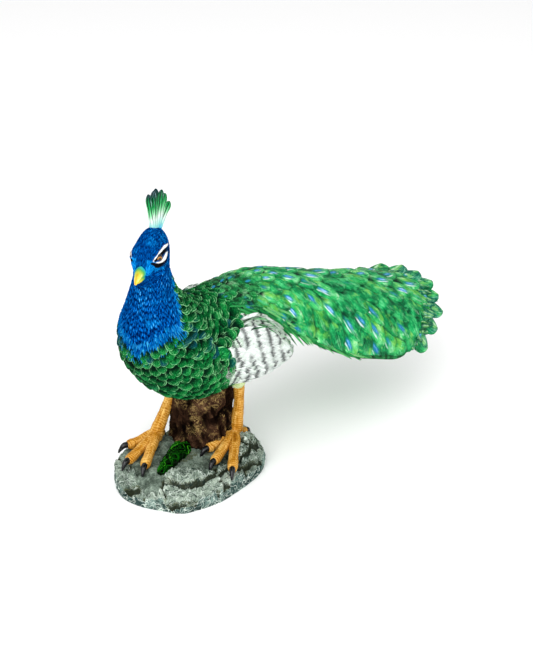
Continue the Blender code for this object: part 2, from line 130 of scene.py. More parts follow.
# Crest feathers: lean in degrees, length, how far the tip goes left.
CREST = ((-7, 33, -1), (-1, 34, 1), (6, 33.5, 0), (14, 31.5, 2), (24, 28, 2), (40, 22.5, 3))
CREST_ROOT = (-20, 221)

# Stump stations: height, centre x, centre y, half width, half depth.
STUMP = np.array([
    (-8, -19, 33, 28, 28),
    (4, -19, 33, 27, 26),
    (18, -19, 32, 25, 24),
    (34, -18, 31.5, 23.5, 23),
    (50, -17, 31, 23, 22),
    (64, -15, 31, 23, 21.5),
    (76, -12, 31, 16, 14.5),
], float)

# The moss's middle line: x, y, radius.
MOSS = np.array([(-17, 10, 4.2), (-11, 2, 6.8), (-5, -9, 5.8), (0, -21, 4.8), (6, -32, 2.4)], float)
MOSS_FRONDS = 90

BASE_CENTRE = np.array([-3.5, 9.0])
BASE_SIZE = np.array([97.0, 134.0])
# The rock's outline as shares of its half size, and at each corner the height share of its rim.
BASE_OUTLINE = np.array([
    (-0.69, -0.84), (-0.28, -1.00), (0.16, -0.98), (0.61, -0.81), (0.88, -0.63), (1.00, -0.25),
    (0.96, 0.08), (0.86, 0.46), (0.63, 0.76), (0.18, 0.94), (-0.30, 1.00), (-0.71, 0.85),
    (-0.92, 0.57), (-1.00, 0.16), (-0.98, -0.28), (-0.88, -0.64),
])
BASE_RIM = (0.60, 0.42, 0.36, 0.36, 0.40, 0.50, 0.74, 0.62, 0.52, 0.48, 0.48, 0.50,
            0.55, 0.62, 0.76, 0.80)
# Raised slabs of the rock: centre x, centre y, half length, half width, turn in degrees, rise.
LEDGES = (
    (31, -19, 27, 12, 48, 6.2),
    (-22, -50, 22, 8, -14, 2.8),
    (17, -49, 7, 6, 10, 3.4),
    (38, 14, 14, 8, 70, 2.6),
    (24, 46, 22, 10, 100, 5.5),
    (2, 57, 20, 8, -24, 5.0),
    (-36, 44, 20, 14, 60, 6.0),
)


# Curves and surfaces shared with the cast

def blend_rows(table, at):
    """Rows of table at the fractional row numbers `at`, on a smooth curve through them."""
    last = len(table) - 1
    at = np.clip(np.asarray(at, float), 0, last)
    low = np.minimum(at.astype(int), last - 1)
    part = (at - low)[..., None]
    before, here = table[np.maximum(low - 1, 0)], table[low]
    after, beyond = table[low + 1], table[np.minimum(low + 2, last)]
    out, into = (after - before) / 2, (beyond - here) / 2
    square, cube = part ** 2, part ** 3
    return ((2 * cube - 3 * square + 1) * here + (cube - 2 * square + part) * out
            + (3 * square - 2 * cube) * after + (cube - square) * into)


def turned(points, degrees, centre=NECK_AXIS):
    """Points (..., 3) turned about an upright line at centre; what faces -Y turns to +X."""
    angle = np.radians(degrees)
    x, y = points[..., 0] - centre[0], points[..., 1] - centre[1]
    return np.stack([centre[0] + x * np.cos(angle) - y * np.sin(angle),
                     centre[1] + x * np.sin(angle) + y * np.cos(angle),
                     points[..., 2]], -1)


def slopes(surface, a, b, step=1e-3):
    """The two tangents of a surface function."""
    return ((surface(a + step, b) - surface(a - step, b)) / (2 * step),
            (surface(a, b + step) - surface(a, b - step)) / (2 * step))


def lengths_along(line):
    """Distance travelled at each point of a line."""
    return np.append(0, np.cumsum(np.linalg.norm(np.diff(line, axis=0), axis=1)))


def coords(*values):
    """Three arrays or numbers side by side at every point, as paint coordinates."""
    return np.stack(np.broadcast_arrays(*values), -1)


def unit(vectors):
    return vectors / np.maximum(np.linalg.norm(vectors, axis=-1, keepdims=True), 1e-9)


def trunk_point(share, angle):
    """Point on the trunk: share runs 0 at the rump to 1 at the beak, angle 0 is the back."""
    row = blend_rows(TRUNK, share * (len(TRUNK) - 1))
    zero = np.zeros_like(row[..., 0])
    back = np.stack([zero, row[..., 0], row[..., 1]], -1)
    belly = np.stack([zero, row[..., 2], row[..., 3]], -1)
    up, side = np.cos(angle), np.sin(angle)
    point = (back + belly) / 2 + (back - belly) / 2 * up[..., None]
    point[..., 0] += row[..., 4] * side * (1 - BELLY_FULLNESS * up)
    return turned(point, row[..., 5])


def train_point(share, across):
    """Point on the train's upper side: share 0 to 1 from back to end, across -1 right to 1 left."""
    row = blend_rows(TRAIN, share * (len(TRAIN) - 1))
    across = np.clip(across, -1, 1)
    x = row[..., 2] * np.sin(across * math.pi / 2) * (0.75 + 0.25 * abs(across))
    y = row[..., 0] - TRAIN_ROUNDING * share ** 2 * across ** 2
    z = row[..., 1] - row[..., 3] * across ** 2 + TRAIN_LEAN * x * share ** 2
    return np.stack([x, y, z], -1)


def wing_point(share, across):
    """Point on the left wing's outer side: share from shoulder to tip, across 0 at the top."""
    row = blend_rows(WING, share * (len(WING) - 1))
    angle = np.radians(row[..., 4] + (row[..., 5] - row[..., 4]) * across)
    point = np.stack([row[..., 2] * np.sin(angle), row[..., 0] + 0 * angle,
                      row[..., 1] + row[..., 3] * np.cos(angle)], -1)
    return turned(point, row[..., 6])


def mirrored(points):
    """Left wing points carried to the right side, following the body's turn at the shoulder."""
    turn = np.interp(points[..., 1], (0, 46), (3, 0))
    straight = turned(points, -turn)
    straight[..., 0] *= -1
    return turned(straight, turn)


def normal_of(surface, a, b, sign):
    """Outward direction of a surface, for the sign that its two tangents need."""
    along, across = slopes(surface, a, b)
    return sign * unit(np.cross(along, across))


TRUNK_SIGN = np.sign((normal_of(trunk_point, np.array(0.3), np.array(math.pi / 2), 1))[0])
TRAIN_SIGN = np.sign((normal_of(train_point, np.array(0.5), np.array(0.0), 1))[2])
WING_SIGN = np.sign((normal_of(wing_point, np.array(0.5), np.array(0.5), 1))[0])


# Noise

def hashed(cells, seed):
    """A fixed random number from 0 to 1 for each whole-number cell (..., 3)."""
    cells = cells.astype(np.int64)
    mixed = cells[..., 0] * 73856093 ^ cells[..., 1] * 19349663 ^ cells[..., 2] * 83492791
    mixed = (mixed + seed * 2654435761) & 0xFFFFFFFF
    mixed = ((mixed ^ (mixed >> 15)) * 2246822519) & 0xFFFFFFFF
    mixed = ((mixed ^ (mixed >> 13)) * 3266489917) & 0xFFFFFFFF
    return ((mixed ^ (mixed >> 16)) & 0xFFFFFF) / float(0xFFFFFF)


def noise(points, seed=0):
    """Smooth noise from 0 to 1 with features one unit wide."""
    base = np.floor(points)
    part = points - base
    part = part * part * (3 - 2 * part)
    total = 0
    for corner in np.ndindex(2, 2, 2):
        weight = np.prod(np.where(corner, part, 1 - part), axis=-1)
        total = total + weight * hashed(base + corner, seed)
    return total


def layered(points, octaves=4, seed=0, gain=0.5):
    total, size, most = 0, 1.0, 0
    for octave in range(octaves):
        total = total + size * noise(points * 2 ** octave, seed + octave)
        most += size
        size *= gain
    return total / most


def cracked(points, seed=0):
    """(distance to the nearest crack, the cell's random number) of a broken-up surface."""
    base = np.floor(points)
    near = np.full(points.shape[:-1], 9.0)
    second = near.copy()
    mark = np.zeros_like(near)
    for offset in np.ndindex(3, 3, 3):
        cell = base + np.array(offset) - 1
        place = cell + np.stack([hashed(cell, seed + axis) for axis in (11, 12, 13)], -1)
        away = np.linalg.norm(place - points, axis=-1)
        closer = away < near
        second = np.where(closer, near, np.minimum(second, away))
        mark = np.where(closer, hashed(cell, seed + 14), mark)
        near = np.where(closer, away, near)
    return second - near, mark


def smooth(low, high, value):
    """0 at low and 1 at high, with a soft start and end; high may be the lesser."""
    part = np.clip((value - low) / (high - low), 0, 1)
    return part * part * (3 - 2 * part)


# Meshes

def grid_faces(rows, columns, closed=False, first=0):
    """Quads of a grid of points; closed joins the last column to the first."""
    index = np.arange(rows * columns).reshape(rows, columns) + first
    right = np.roll(index, -1, axis=1) if closed else index[:, 1:]
    left = index if closed else index[:, :-1]
    return np.stack([left[:-1], right[:-1], right[1:], left[1:]], -1).reshape(-1, 4)


def part(points, faces, a=None, b=None):
    """One part of a piece: points, lists of faces by corner count, and paint coordinates."""
    points = points.reshape(-1, 3)
    blank = np.zeros_like(points)
    return {"points": points, "faces": faces,
            "fa": blank if a is None else a.reshape(-1, 3),
            "fb": blank if b is None else b.reshape(-1, 3)}


def add_piece(name, parts, material, sharp=None):
    """One object from its parts, its faces turned outward."""
    counts = np.cumsum([0] + [len(p["points"]) for p in parts])
    points = np.concatenate([p["points"] for p in parts]) * MM
    corners, sizes = [], []
    for start, p in zip(counts, parts):
        for faces in p["faces"]:
            faces = np.asarray(faces)
            corners.append((faces + start).reshape(-1))
            sizes.append(np.full(len(faces), faces.shape[1]))
    corners, sizes = np.concatenate(corners), np.concatenate(sizes)
    mesh = bpy.data.meshes.new(name)
    mesh.vertices.add(len(points))
    mesh.vertices.foreach_set("co", points.astype(np.float32).reshape(-1))
    mesh.loops.add(len(corners))
    mesh.loops.foreach_set("vertex_index", corners.astype(np.int32))
    mesh.polygons.add(len(sizes))
    starts = np.concatenate([[0], np.cumsum(sizes)[:-1]])
    mesh.polygons.foreach_set("loop_start", starts.astype(np.int32))
    mesh.update(calc_edges=True)
    for key in ("fa", "fb"):
        values = np.concatenate([p[key] for p in parts]).astype(np.float32)
        mesh.attributes.new(key, "FLOAT_VECTOR", "POINT").data.foreach_set(
            "vector", values.reshape(-1))
    shape = bmesh.new()
    shape.from_mesh(mesh)
    bmesh.ops.recalc_face_normals(shape, faces=shape.faces)
    shape.to_mesh(mesh)
    shape.free()
    mesh.shade_smooth()
    if sharp:
        mesh.set_sharp_from_angle(angle=math.radians(sharp))
    mesh.materials.append(material)
    piece = bpy.data.objects.new(name, mesh)
    bpy.context.scene.collection.objects.link(piece)
    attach(piece, "root")
    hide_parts("peacock_figurine")
    return piece


def tube(path, widths, heights, upward, sides, rows=None):
    """Rings of points along a path, and the angle and share of the length of each point."""
    path = np.asarray(path, float)
    widths, heights = np.asarray(widths, float), np.asarray(heights, float)
    if rows:
        table = np.column_stack([path, widths, heights])
        table = blend_rows(table, np.linspace(0, len(path) - 1, rows))
        path, widths, heights = table[:, :3], table[:, 3], table[:, 4]
    tangent = unit(np.gradient(path, axis=0))
    across = unit(np.cross(tangent, upward))
    rise = np.cross(across, tangent)
    angle = np.arange(sides) * 2 * math.pi / sides
    rings = (path[:, None] + np.cos(angle)[None, :, None] * widths[:, None, None] * across[:, None]
             + np.sin(angle)[None, :, None] * heights[:, None, None] * rise[:, None])
    travel = lengths_along(path)
    return rings, *np.broadcast_arrays(angle, (travel / travel[-1])[:, None])


def ring_normals(rings):
    """Outward directions of the points of a tube."""
    return unit(rings - rings.mean(axis=1, keepdims=True))


def closed_tube(rings, a=None, b=None):
    """A part from rings of points, its two ends closed."""
    rows, sides = rings.shape[:2]
    last = (rows - 1) * sides
    faces = [grid_faces(rows, sides, closed=True),
             [list(range(sides - 1, -1, -1))], [list(range(last, last + sides))]]
    return part(rings, faces, a, b)


OUTLINES = {
    "scale": ((0, .18, .36, .54, .70, .82, .91, .97, 1.0), (.50, .76, .93, 1, .96, .84, .64, .40, .12)),
    "lobe": ((0, .15, .32, .50, .66, .80, .90, .96, 1.0), (.40, .66, .88, 1, .98, .84, .60, .36, .10)),
    "blade": ((0, .2, .4, .6, .78, .88, .94, .98, 1.0), (.55, .85, 1, .98, .80, .56, .36, .18, .05)),
    "lock": ((0, .3, .6, .85, 1.0), (.6, 1, .9, .5, .08)),
}


def feathers(surface, sign, forward, a, b, length, width, rise, twist=0.0, kind="scale",
             columns=9, camber=0.6, root=0.45, fringe=0.0, depth=0.9, seed=0.0, extra=None,
             keep_side=None, limits=None):
    """Overlapping feathers on a surface, one closed shell at each anchor (a, b).

    Their own coordinates go to fa as (along, across, random) and to fb as
    (distance to the rim in millimetres, extra 1, extra 2).
    """
    a, b = np.atleast_1d(a).astype(float), np.atleast_1d(b).astype(float)
    count = len(a)
    length, width, rise, twist = (np.broadcast_to(v, count).astype(float)
                                  for v in (length, width, rise, twist))
    stations, half = (np.array(v) for v in OUTLINES[kind])
    rows = len(stations)
    v = np.array([-1, -.86, -.6, -.3, 0, .3, .6, .86, 1]) if columns == 9 else np.linspace(-1, 1, columns)
    along_a, along_b = slopes(surface, a, b)
    normal = sign * unit(np.cross(along_a, along_b))
    front = forward * unit(along_a)
    side = np.cross(normal, front)
    turn = np.radians(twist)[:, None]
    run = front * np.cos(turn) + side * np.sin(turn)
    off = side * np.cos(turn) - front * np.sin(turn)
    t = np.broadcast_to(stations[None, :, None], (count, rows, len(v)))
    w = np.broadcast_to(v[None, None, :], t.shape)
    reach = (t - root) * length[:, None, None]
    if fringe:
        ragged = rng.uniform(-1, 1, (count, 1, len(v))) * fringe
        reach = reach + ragged * smooth(0.6, 1.0, t) * length[:, None, None]
    offset = w * half[None, :, None] * width[:, None, None] / 2
    move = reach[..., None] * run[:, None, None] + offset[..., None] * off[:, None, None]
    aa, ab, bb = ((x * y).sum(-1)[:, None, None] for x, y in
                  ((along_a, along_a), (along_a, along_b), (along_b, along_b)))
    ma = (move * along_a[:, None, None]).sum(-1)
    mb = (move * along_b[:, None, None]).sum(-1)
    scale = np.maximum(aa * bb - ab * ab, 1e-9)
    at_a = a[:, None, None] + (bb * ma - ab * mb) / scale
    at_b = b[:, None, None] + (aa * mb - ab * ma) / scale
    if limits:
        at_a, at_b = (np.clip(at, *limit) for at, limit in zip((at_a, at_b), limits))
    ground = surface(at_a, at_b)
    up = normal_of(surface, at_a, at_b, sign)
    height = (rise[:, None, None] * t ** 1.3 + camber * (1 - w ** 2) * np.sin(math.pi * t ** 0.8)
              - 0.9 * (1 - t) ** 2 - 0.25 * rise[:, None, None] * t * w ** 4)
    top = ground + up * height[..., None]
    edge_index = np.concatenate([np.arange(len(v)), np.arange(2, rows + 1) * len(v) - 1,
                                 np.arange(rows * len(v) - 2, (rows - 1) * len(v) - 1, -1),
                                 np.arange(rows - 2, 0, -1) * len(v)])
    flat = (ground - up * depth).reshape(count, -1, 3)
    bottom = flat[:, edge_index]
    if keep_side:
        top, bottom = keep_side(top), keep_side(bottom)
    inner, ring = rows * len(v), len(edge_index)
    points = np.concatenate([top.reshape(count, -1, 3), bottom], axis=1)
    start = (np.arange(count) * (inner + ring))[:, None, None]
    top_faces = grid_faces(rows, len(v))[None] + start
    around = np.roll(edge_index, -1)
    low = inner + np.arange(ring)
    skirt = np.stack([edge_index, low, np.roll(low, -1), around], -1)[None] + start
    cap = low[None, None] + start
    rim_side = (1 - abs(w)) * half[None, :, None] * width[:, None, None] / 2
    rim_tip = (1 - t) * length[:, None, None]
    rim = np.minimum(rim_side + 3 * np.clip(0.45 - t, 0, 1), rim_tip * 0.8)
    random = rng.random(count) if np.isscalar(seed) else seed
    fa = np.stack([t, w, np.broadcast_to(random[:, None, None], t.shape)], -1).reshape(count, -1, 3)
    one, two = extra if extra else (np.zeros(count), np.zeros(count))
    fb = np.stack([rim, np.broadcast_to(one[:, None, None], t.shape),
                   np.broadcast_to(two[:, None, None], t.shape)], -1).reshape(count, -1, 3)
    # Painted shade: the skirt under each feather's edge gets a low along value and no rim, so it takes the dark
    # root colour of the paint
    fa_low, fb_low = fa[:, edge_index].copy(), fb[:, edge_index].copy()
    fa_low[..., 0] *= 0.3
    fb_low[..., 0] = 3
    return part(points, [top_faces.reshape(-1, 4), skirt.reshape(-1, 4), cap.reshape(-1, ring)],
                np.concatenate([fa, fa_low], 1), np.concatenate([fb, fb_low], 1))


# Materials

class Value:
    """A value inside a material; arithmetic on it adds Math nodes."""

    def __init__(self, paint, socket):
        self.paint, self.socket = paint, socket

    def __add__(self, other):
        return self.paint.math("ADD", self, other)

    def __sub__(self, other):
        return self.paint.math("SUBTRACT", self, other)

    def __rsub__(self, other):
        return self.paint.math("SUBTRACT", other, self)

    def __mul__(self, other):
        return self.paint.math("MULTIPLY", self, other)

    def __pow__(self, other):
        return self.paint.math("POWER", self, other)

    def __abs__(self):
        return self.paint.math("ABSOLUTE", self)

    __radd__, __rmul__ = __add__, __mul__


class Paint:
    """A material's nodes, made with short calls; fa and fb are the paint coordinates of the mesh."""

    def __init__(self, name, roughness=0.4, coat=0.0, coat_roughness=0.15):
        self.material = bpy.data.materials.new(name)
        self.material.use_nodes = True
        self.tree = self.material.node_tree
        self.shader = self.tree.nodes["Principled BSDF"].inputs
        self.shader["Roughness"].default_value = roughness
        self.shader["Coat Weight"].default_value = coat
        self.shader["Coat Roughness"].default_value = coat_roughness
        self.shader["Specular IOR Level"].default_value = 0.0
        self.fa, self.fb = self.coordinates("fa"), self.coordinates("fb")
        self.place = Value(self, self.tree.nodes.new("ShaderNodeTexCoord").outputs["Object"])

    def node(self, kind, inputs, output=0, **settings):
        made = self.tree.nodes.new("ShaderNode" + kind)
        for key, value in settings.items():
            setattr(made, key, value)
        for key, value in inputs.items():
            self.put(made.inputs[key], value)
        return Value(self, made.outputs[output])

    def put(self, socket, value):
        if isinstance(value, Value):
            self.tree.links.new(value.socket, socket)
        elif socket.type == "RGBA":
            socket.default_value = (*value[:3], 1)
        else:
            socket.default_value = value

    def coordinates(self, name):
        vector = self.node("Attribute", {}, "Vector", attribute_name=name)
        return [self.node("SeparateXYZ", {0: vector}, axis) for axis in range(3)]

    def join(self, x, y, z):
        return self.node("CombineXYZ", {0: x, 1: y, 2: z})

    def math(self, operation, x, y=0.5):
        return self.node("Math", {0: x, 1: y}, operation=operation)

    def step(self, value, low, high):
        """0 below low and 1 above high, smoothly; the other way round when high is less."""
        ends = {1: high, 2: low, 3: 1.0, 4: 0.0} if low > high else {1: low, 2: high, 3: 0.0, 4: 1.0}
        return self.node("MapRange", {0: value, **ends}, interpolation_type="SMOOTHSTEP")

    def mix(self, factor, first, second):
        return self.node("Mix", {0: factor, 6: first, 7: second}, 2, data_type="RGBA")

    def noise(self, vector, scale, detail=2.0, roughness=0.5, distortion=0.0):
        return self.node("TexNoise", {"Vector": vector, "Scale": scale, "Detail": detail,
                                      "Roughness": roughness, "Distortion": distortion})

    def wrinkles(self, scale, width, bend=0.004):
        """Thin winding lines, 1 on a line and 0 off it."""
        drift = self.node("TexNoise", {"Vector": self.place, "Scale": scale * 0.6, "Detail": 2.0}, 1)
        shift = self.node("VectorMath", {0: drift, 1: (bend, bend, bend)}, operation="MULTIPLY")
        field = self.noise(self.node("VectorMath", {0: self.place, 1: shift}, operation="ADD"), scale, 1.0)
        return self.step(abs(field - 0.5), width, width * 0.25)

    def ramp(self, factor, *stops):
        """A colour ramp; each stop is its place, red, green and blue."""
        made = self.node("ValToRGB", {0: factor})
        elements = made.socket.node.color_ramp.elements
        while len(elements) < len(stops):
            elements.new(1)
        for element, (place, *colour) in zip(elements, stops):
            element.position = place
            element.color = (*colour, 1)
        return made

    def bump(self, height, distance):
        return self.node("Bump", {"Height": height, "Distance": distance * MM, "Strength": 1.0})

    def finish(self, colour, normal=None, roughness=None):
        for name, value in (("Base Color", colour), ("Normal", normal), ("Roughness", roughness)):
            if value is not None:
                self.put(self.shader[name], value)
        return self.material


def barbs(paint, across=16, along=2.2, spread=1):
    """Streaks that fan out from the shaft of a feather."""
    t, w, random = paint.fa
    slant = abs(w) * -spread + t
    vector = paint.join(w * (across / 4), slant * (along * 4), random * 57)
    return paint.noise(vector, 2.4, 3, 0.6)


def scale_colours(paint, streak, fine, t, rim, random, teal, shade):
    """Dark green scales with brushed streaks, teal patches and thin broken pale rims, and painted shade at the
    covered root of each scale.
    """
    cloud = paint.noise(paint.place, 42, 2)
    touch = paint.noise(paint.place, 170, 2)
    # deep: the near-black painted shade colour for the root of each scale, where the scale in front covers it
    deep = paint.mix(random, (0, 0.006, 0.003), (0, 0.016, 0.006))
    body = paint.ramp(streak, (0.34, 0, 0.006, 0.002), (0.48, 0, 0.055, 0.014),
                      (0.6, 0.002, 0.19, 0.034), (0.73, 0.05, 0.48, 0.14))
    bright = paint.ramp(streak, (0.34, 0, 0.035, 0.008), (0.48, 0.002, 0.17, 0.03),
                        (0.6, 0.014, 0.4, 0.075), (0.72, 0.18, 0.72, 0.28))
    body = paint.mix(paint.step(shade + random * 0.5, 0.55, 1.05), body, bright)
    blue = paint.ramp(streak, (0.3, 0, 0.018, 0.03), (0.55, 0.002, 0.065, 0.085),
                      (0.75, 0.03, 0.24, 0.24))
    teals = paint.step(cloud + random * 0.45, 0.84, 0.95) * teal
    body = paint.mix(teals, body, blue)
    # Painted shade: lit is 0 at each scale's covered root, which takes deep, and 1 on its open part
    lit = paint.step(t + streak * 0.6, 0.78, 1.22)
    colour = paint.mix(lit, deep, body)
    edge = paint.step(rim, 0.66, 0.24) * paint.step(touch + streak * 0.35, 0.55, 0.7)
    inner = paint.step(abs(rim - 1.5), 0.45, 0.1) * paint.step(touch + streak, 1.02, 1.14)
    brushed = paint.math("MAXIMUM", edge, inner * 0.55)
    return paint.mix(brushed * (0.55 + fine * 0.5), colour, (0.28, 0.72, 0.32))


def green_feathers():
    paint = Paint("green_feathers", 0.34, 0.03)
    t, w, random = paint.fa
    rim, white, teal = paint.fb
    streak = barbs(paint, 22, 1.5)
    fine = paint.noise(paint.place, 900, 2, 0.7)
    shade = paint.noise(paint.place, 26, 2)
    colour = scale_colours(paint, streak, fine, t, rim, random, teal, shade)
    hair = paint.noise(paint.join(w * 12, t * 2, random * 77), 1.6, 4, 0.7)
    pale = paint.ramp(hair, (0.3, 0.05, 0.13, 0.07), (0.46, 0.36, 0.5, 0.38), (0.6, 0.84, 0.9, 0.84))
    bars = paint.step(abs(t - 0.68) + (hair - 0.5) * 0.5, 0.11, 0.02)
    pale = paint.mix(bars * paint.step(white, 0.3, 0.6), pale, (0.012, 0.02, 0.018))
    # Painted shade: the covered root of each pale feather is darkened
    pale = paint.mix(paint.step(t, 0.5, 0.3), pale, (0.05, 0.1, 0.06))
    ragged = (hair - 0.5) * 1.1 + (fine - 0.5) * 0.3
    whiteness = paint.step(white + ragged, 0.35, 0.65)
    colour = paint.mix(whiteness, colour, pale)
    height = streak + fine * 0.3
    return paint.finish(colour, paint.bump(height, 0.7), streak * 0.25 + 0.2)


def train_feathers():
    """fb: distance to the rim, how full-grown the feather is, strands of the train's edge."""
    paint = Paint("train_feathers", 0.26, 0.2, 0.14)
    t, w, random = paint.fa
    rim, size, edge = paint.fb
    streak = barbs(paint, 18, 1.6, 1.3)
    fine = paint.noise(paint.place, 900, 2, 0.7)
    blotch = paint.noise(paint.join(w, t * 1.6, random * 91), 1.7, 2)
    cloud = paint.noise(paint.place, 26, 2)
    soft = streak * 0.45 + paint.noise(paint.place, 90, 3, 0.55) * 0.55
    body = paint.ramp(soft, (0.37, 0, 0.035, 0.016), (0.47, 0.001, 0.16, 0.045),
                      (0.56, 0.008, 0.36, 0.095), (0.67, 0.14, 0.68, 0.28))
    fresh = paint.ramp(soft, (0.37, 0, 0.09, 0.024), (0.47, 0.004, 0.31, 0.07), (0.56, 0.06, 0.56, 0.16),
                       (0.66, 0.55, 0.9, 0.56))
    body = paint.mix(paint.step(cloud + random * 0.4, 0.62, 0.85), body, fresh)
    yellow = paint.ramp(soft, (0.38, 0.03, 0.22, 0.012), (0.54, 0.18, 0.46, 0.03),
                        (0.68, 0.55, 0.8, 0.22))
    low = paint.step(w + blotch * 0.9, 0.05, 0.65)
    mottled = paint.noise(paint.place, 165, 3, 0.55)
    patch = paint.step(cloud * 0.5 + mottled * 0.7, 0.58, 0.76)
    patch = patch * (0.15 + low * 0.85)
    body = paint.mix(paint.step(mottled, 0.52, 0.66) * 0.4, body, (0.07, 0.6, 0.22))
    body = paint.mix(paint.step(mottled, 0.44, 0.32) * 0.45, body, (0, 0.05, 0.022))
    colour = paint.mix(patch * 0.66, body, yellow)
    side = w + 0.16 + (random - 0.5) * 0.3
    away = paint.math("SQRT", (side * 3.9) ** 2 + ((t - 0.57) * 4.8) ** 2)
    away = away + (streak - 0.5) * 1.2 + (mottled - 0.5) * 0.9
    shown = paint.step(random, 0.36, 0.44) * paint.step(size, 0.15, 0.45)
    halo = paint.step(away, 1.25, 0.7) * shown
    colour = paint.mix(halo * 0.75, colour, (0.006, 0.17, 0.18))
    spot = paint.step(away, 0.74, 0.4) * shown
    blue = paint.ramp(streak + random * 0.2, (0.38, 0.003, 0.03, 0.12), (0.54, 0.01, 0.12, 0.36),
                      (0.68, 0.05, 0.34, 0.68), (0.84, 0.6, 0.76, 0.92))
    colour = paint.mix(spot * (0.55 + random * 0.45), colour, blue)
    shine = paint.step(abs(w + 0.34 + blotch * 0.3), 0.11, 0.01) * paint.step(abs(t - 0.57), 0.22, 0.08)
    shine = shine * paint.step(blotch, 0.4, 0.55)
    colour = paint.mix(shine * shown * 0.7, colour, (0.74, 0.86, 0.9))
    # Painted shade: each lobe's root, under the lobe in front, is darkened
    colour = paint.mix(paint.step(t + streak * 0.3, 0.6, 0.36), colour, (0, 0.022, 0.012))
    # Painted shade: each lobe is darkened along its edges, so the lobes read as rounded ridges
    lobe_edge_shade = paint.step(rim, 2.6, 0.2) * paint.step(t + mottled * 0.4, 1.25, 0.95)
    colour = paint.mix(lobe_edge_shade * 0.75, colour, (0, 0.045, 0.018))
    # Painted highlight: a pale streak near the middle of each lobe's outer half
    ridge = paint.step(abs(w + 0.18), 0.34, 0.05) * paint.step(t, 0.55, 0.85)
    ridge = ridge * paint.step(streak + blotch * 0.5, 0.7, 0.95)
    colour = paint.mix(ridge * 0.55, colour, (0.42, 0.8, 0.5))
    front = scale_colours(paint, streak, fine, t, rim, random, 0.9, cloud)
    glints = paint.step(random + blotch * 0.5, 0.98, 1.08) * paint.step(away, 0.9, 0.5)
    front = paint.mix(paint.step(mottled, 0.42, 0.6) * 0.4, front, fresh)
    front = paint.mix(glints * 0.9, front, (0.02, 0.22, 0.4))
    colour = paint.mix(paint.step(size + (cloud - 0.5) * 0.7, 0.36, 0.12), colour, front)
    teal = paint.ramp(streak + (mottled - 0.5) * 0.6, (0.3, 0, 0.035, 0.03), (0.46, 0.004, 0.14, 0.08),
                      (0.58, 0.05, 0.36, 0.19), (0.72, 0.5, 0.76, 0.62))
    tip = paint.step(size, 1.05, 1.2)
    colour = paint.mix(tip * paint.step(cloud + blotch, 0.8, 1.1), colour, teal)
    middle = paint.step(abs(w + 0.1), 0.62, 0.15) * paint.step(mottled, 0.4, 0.56)
    colour = paint.mix(tip * middle * 0.6, colour, (0.2, 0.56, 0.11))
    gleam = paint.step(abs(w + 0.3), 0.2, 0.02) * paint.step(mottled, 0.46, 0.6)
    colour = paint.mix(tip * gleam * 0.6, colour, (0.62, 0.84, 0.66))
    strands = paint.ramp(streak * 0.7 + random * 0.3, (0.32, 0, 0.045, 0.014), (0.46, 0.008, 0.2, 0.04),
                         (0.58, 0.03, 0.36, 0.09), (0.68, 0.26, 0.62, 0.22), (0.78, 0.66, 0.86, 0.52))
    colour = paint.mix(edge, colour, strands)
    return paint.finish(colour, paint.bump(streak + fine * 0.15, 0.45), streak * 0.2 + 0.12)


def blue_plumage():
    """fa: strokes' height, travel, round; fb: cyan share, white share, black share."""
    paint = Paint("blue_plumage", 0.42, 0)
    stroke, travel, around = paint.fa
    cyan, white, black = paint.fb
    fine = paint.noise(paint.place, 1500, 2, 0.7)
    cloud = paint.noise(paint.place, 55, 3, 0.6)
    brush = paint.noise(paint.join(around * 210, travel * 0.3, 0), 1, 2, 0.6)
    tone = stroke * 0.55 + fine * 0.28 + brush * 0.34
    deep = paint.ramp(tone, (0.37, 0, 0.002, 0.025), (0.51, 0, 0.036, 0.18), (0.65, 0, 0.13, 0.52),
                      (0.83, 0.1, 0.58, 0.96))
    light = paint.ramp(tone, (0.36, 0, 0.02, 0.13), (0.51, 0, 0.17, 0.55), (0.66, 0.02, 0.46, 0.82),
                       (0.84, 0.42, 0.86, 0.96))
    colour = paint.mix(cyan + paint.step(cloud, 0.5, 0.72) * 0.35, deep, light)
    colour = paint.mix(black, colour, (0.004, 0.005, 0.007))
    colour = paint.mix(white, colour, (0.88, 0.88, 0.84))
    return paint.finish(colour, paint.bump(fine, 0.15))


def fringe_locks():
    """The loose ends of the blue plumage over the green; fb's second value is how cyan a lock is."""
    paint = Paint("blue_locks", 0.42, 0)
    t, w, random = paint.fa
    rim, cyan, _ = paint.fb
    tone = t * 0.35 + random * 0.45 + rim * 0.12
    deep = paint.ramp(tone, (0.15, 0, 0.008, 0.07), (0.55, 0, 0.06, 0.32), (0.95, 0.01, 0.27, 0.62))
    light = paint.ramp(tone, (0.15, 0, 0.05, 0.2), (0.55, 0, 0.22, 0.52), (0.95, 0.1, 0.62, 0.72))
    return paint.finish(paint.mix(cyan, deep, light))


